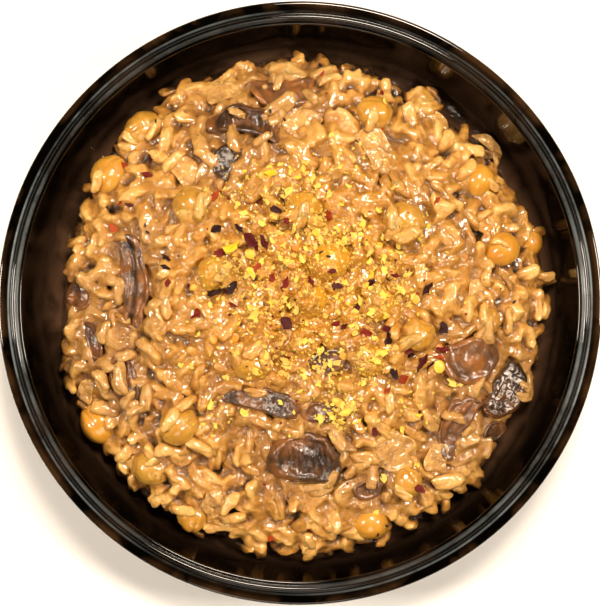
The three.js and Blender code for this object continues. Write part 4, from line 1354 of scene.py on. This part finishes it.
strew_on(food, "yeast_flakes", shapes, rows, yeast_flake, 6)

# %% Chilli flakes
chilli_skin, tree, shader, place, tone = new_material(
    "dried_chilli_skin", ("place", "tone"), Roughness=0.55, Specular_IOR_Level=0.18)
streaks = add_node(tree, NOISE, {"Vector": place, "Scale": per_mm(1.5), "Detail": 2})
varied = add_node(tree, MATH, {0: streaks, 1: 0.24, 2: tone}, operation="MULTIPLY_ADD")
colour = add_node(tree, RAMP, {"Fac": varied}, [
    (0.12, "#220907"), (0.3, "#340c0a"), (0.55, "#561412"), (0.8, "#6e190a"), (1.0, "#9e3e10")])
set_inputs(shader, {"Base Color": colour})
CHILLI = [
    (-50.6, 39.4, 2.8, 0.8), (-42.8, 41.3, 3, 0.2), (-44, 37, 4, 0.6), (-51.5, 28.8, 2, 0.7),
    (-48.8, 28.2, 2.4, 0.3), (-53.8, 21.6, 3.6, 0.9), (-37.8, 12.7, 3.4, 0.05), (-38, 10, 3, 0.05),
    (-37, 5.6, 2.4, 0.6), (-29.6, -3.2, 3, 0.7), (-24.2, 30.2, 3.4, 0.85), (-11.9, 28.8, 2.4, 0.5),
    (-6.9, 26.3, 3.4, 0.1), (-3.4, 23.1, 2.6, 0.6), (-23.7, 20.7, 3.4, 0.0), (-17.3, 21, 3.4, 0.0),
    (-14.7, 17.8, 5, 0.35), (-10, 16.7, 4.6, 0.3), (-12.6, 16.2, 3.6, 0.4), (-23, 14.2, 3.4, 0.6),
    (-1.3, 15.2, 2.4, 0.8), (-12, 10, 3, 0.8), (-4, 5.4, 4.4, 0.65), (-8, 7.1, 2.6, 0.7),
    (-24.5, 3, 4.4, 0.0), (-19.6, 4.5, 4, 0.0), (-20.4, 3, 2.8, 0.3), (3, 5.9, 3.2, 0.45),
    (10.3, 5.1, 3.2, 0.25), (-19, -0.4, 2.8, 0.6), (-28.9, -2.8, 3.4, 0.6), (-4.2, -5.7, 4.2, 0.25),
    (9.1, 9.1, 2.4, 0.4), (8.2, 25.1, 3, 0.8), (26.8, 7.7, 2.8, 0.5), (20.3, 5.4, 3.4, 0.2),
    (35.8, 3.9, 4.4, 0.1), (40.7, -7.4, 4.6, 0.1), (16.4, -1.2, 3.2, 0.3), (13, -6.8, 3.6, 0.3),
    (10.3, -5.9, 2.6, 0.6), (18.7, -8.5, 3.6, 0.7), (24.7, -7.1, 2.8, 0.35), (25.3, -10, 3.4, 0.05),
    (25, -11, 2.8, 0.2), (38.7, 29.1, 2.8, 0.85), (30.6, -13.2, 3, 0.5), (34.6, -17.2, 5.4, 0.3),
    (36.4, -18.1, 4.2, 0.1), (26.8, -19.6, 3.6, 0.05), (40.4, -13.5, 4.2, 0.45), (39.7, -15.2, 3, 0.9),
    (29.4, -21.6, 3.2, 0.75), (24.6, -24.8, 3.6, 0.85), (21, -36.4, 2.8, 0.4), (34, -52.9, 3.4, 0.5),
    (-8.2, -68, 3, 0.85), (23.6, 60.1, 2.4, 0.6), (6.2, 65.9, 2.4, 0.85), (31, -14.6, 3.4, 0.05),
]  # x, y, length, tone
CURLED_UP = 1.3  # a curled flake is longer than it looks
CHILLI_CRUMBS = 120
rows = [(x, y, CURLED_UP * length, tone) for x, y, length, tone in CHILLI]
draw = np.random.default_rng(17)
for _ in range(CHILLI_CRUMBS):
    rows.append((draw.normal(4, 24), draw.normal(2, 22), draw.uniform(0.6, 1.6), draw.uniform(0.1, 1.0)))
shapes = [flake_shape("chilli_%d" % i, 90 + i, thickness=0.1, corners=10, curl=0.6, slim=0.44 + 0.07 * i,
                      spread=0.14) for i in range(6)]
strew_on(food, "chilli_flakes", shapes, rows, chilli_skin, 18, tilt=0.2, lift=0.14)

# %% Chilli seeds
seed_shell, tree, shader, tone = new_material(
    "chilli_seed", ("tone",), Roughness=0.4, Subsurface_Weight=0.2, Subsurface_Scale=0.5 * MM)
colour = add_node(tree, RAMP, {"Fac": tone}, [(0.0, "#c9771f"), (1.0, "#f2c23e")])
set_inputs(shader, {"Base Color": colour})
SEEDS = [(-14.1, 14, 3.2, 0.8), (-18.6, -9.8, 3, 0.2), (32.8, 1, 2.8, 0.5), (39.3, -18, 3.8, 0.9),
         (-24.6, -10.4, 2.6, 0.3), (12.3, -15, 2.4, 0.5), (-5.2, 17.6, 2.6, 0.1), (4.6, 20.2, 2.8, 0.8),
         (-1.2, 15.6, 2.6, 0.1), (22.4, 16.2, 2.2, 0.6), (-30, 4.4, 2.2, 0.5),
         (39.6, -12.8, 2.6, 0.0)]  # x, y, size, tone
shapes = [flake_shape("seed_0", 130, thickness=0.26, corners=14, curl=0.0, slim=0.9, spread=0.02,
                      lift=0.03)]
strew_on(food, "chilli_seeds", shapes, SEEDS, seed_shell, 19, tilt=0.15)

# %% Pepper and herbs
pepper, tree, shader, tone = new_material("cracked_pepper_and_herb", ("tone",), Roughness=0.5)
colour = add_node(tree, RAMP, {"Fac": tone}, [(0.0, "#0f0c09"), (0.6, "#241d12"), (1.0, "#3a4420")])
set_inputs(shader, {"Base Color": colour})
SPECKS = [(-41.6, 52.5), (-34.3, 51.1), (-8.4, 54.7), (-4.6, 52.5), (-55.4, 27.5), (-44, 22.2),
          (-43.1, 20.1), (22.2, 33.7), (61.6, 0.4), (-15.4, 1.3), (-12.6, 6.8), (6, 14.2),
          (8, 13), (24.8, -64.2), (22.4, -66.6)]  # x, y of the largest
FINE_SPECKS = 150
SPECK_REACH = 66
rows = [(x, y, 2.0, 0.2) for x, y in SPECKS]
draw = np.random.default_rng(29)
for _ in range(FINE_SPECKS):
    angle, reach = draw.uniform(0, 2 * math.pi), SPECK_REACH * math.sqrt(draw.uniform(0, 1))
    rows.append((reach * math.cos(angle), reach * math.sin(angle), draw.uniform(0.35, 0.9),
                 draw.uniform(0, 1)))
shapes = [flake_shape("speck_%d" % i, 150 + i, thickness=0.3, corners=5, curl=0.1, slim=0.45)
          for i in range(3)]
strew_on(food, "pepper_specks", shapes, rows, pepper, 30)

# %% [markdown]
# ## Crumbs in the dish
# A few crumbs and drops have fallen on the glass round the food. They are dropped on the dish itself,
# as blunt little lumps of the same rice.

# %% Crumbs on the glass
CRUMBS = [(66, -10.6, 0.9), (58, -36.4, 0.9), (53.5, -42.4, 1.1), (9.6, -70.6, 0.9), (7.4, -71.2, 1.2),
          (12, -71, 0.7), (-4, -72, 0.8), (-58.4, 43.4, 0.8), (36, -63.6, 0.8),
          (-47.6, -53, 1)]  # x, y, size
on_glass = surface_tree([dish])
rows = [(x, y, size, 0.8) for x, y, size in CRUMBS]
shapes = [flake_shape("crumb_%d" % i, 170 + i, thickness=0.5, corners=7, curl=0.2, slim=0.8, spread=0.06,
                      lift=0.1) for i in range(3)]
strew_on(on_glass, "crumbs_on_glass", shapes, rows, creamy_rice, 33, lift=0.2)
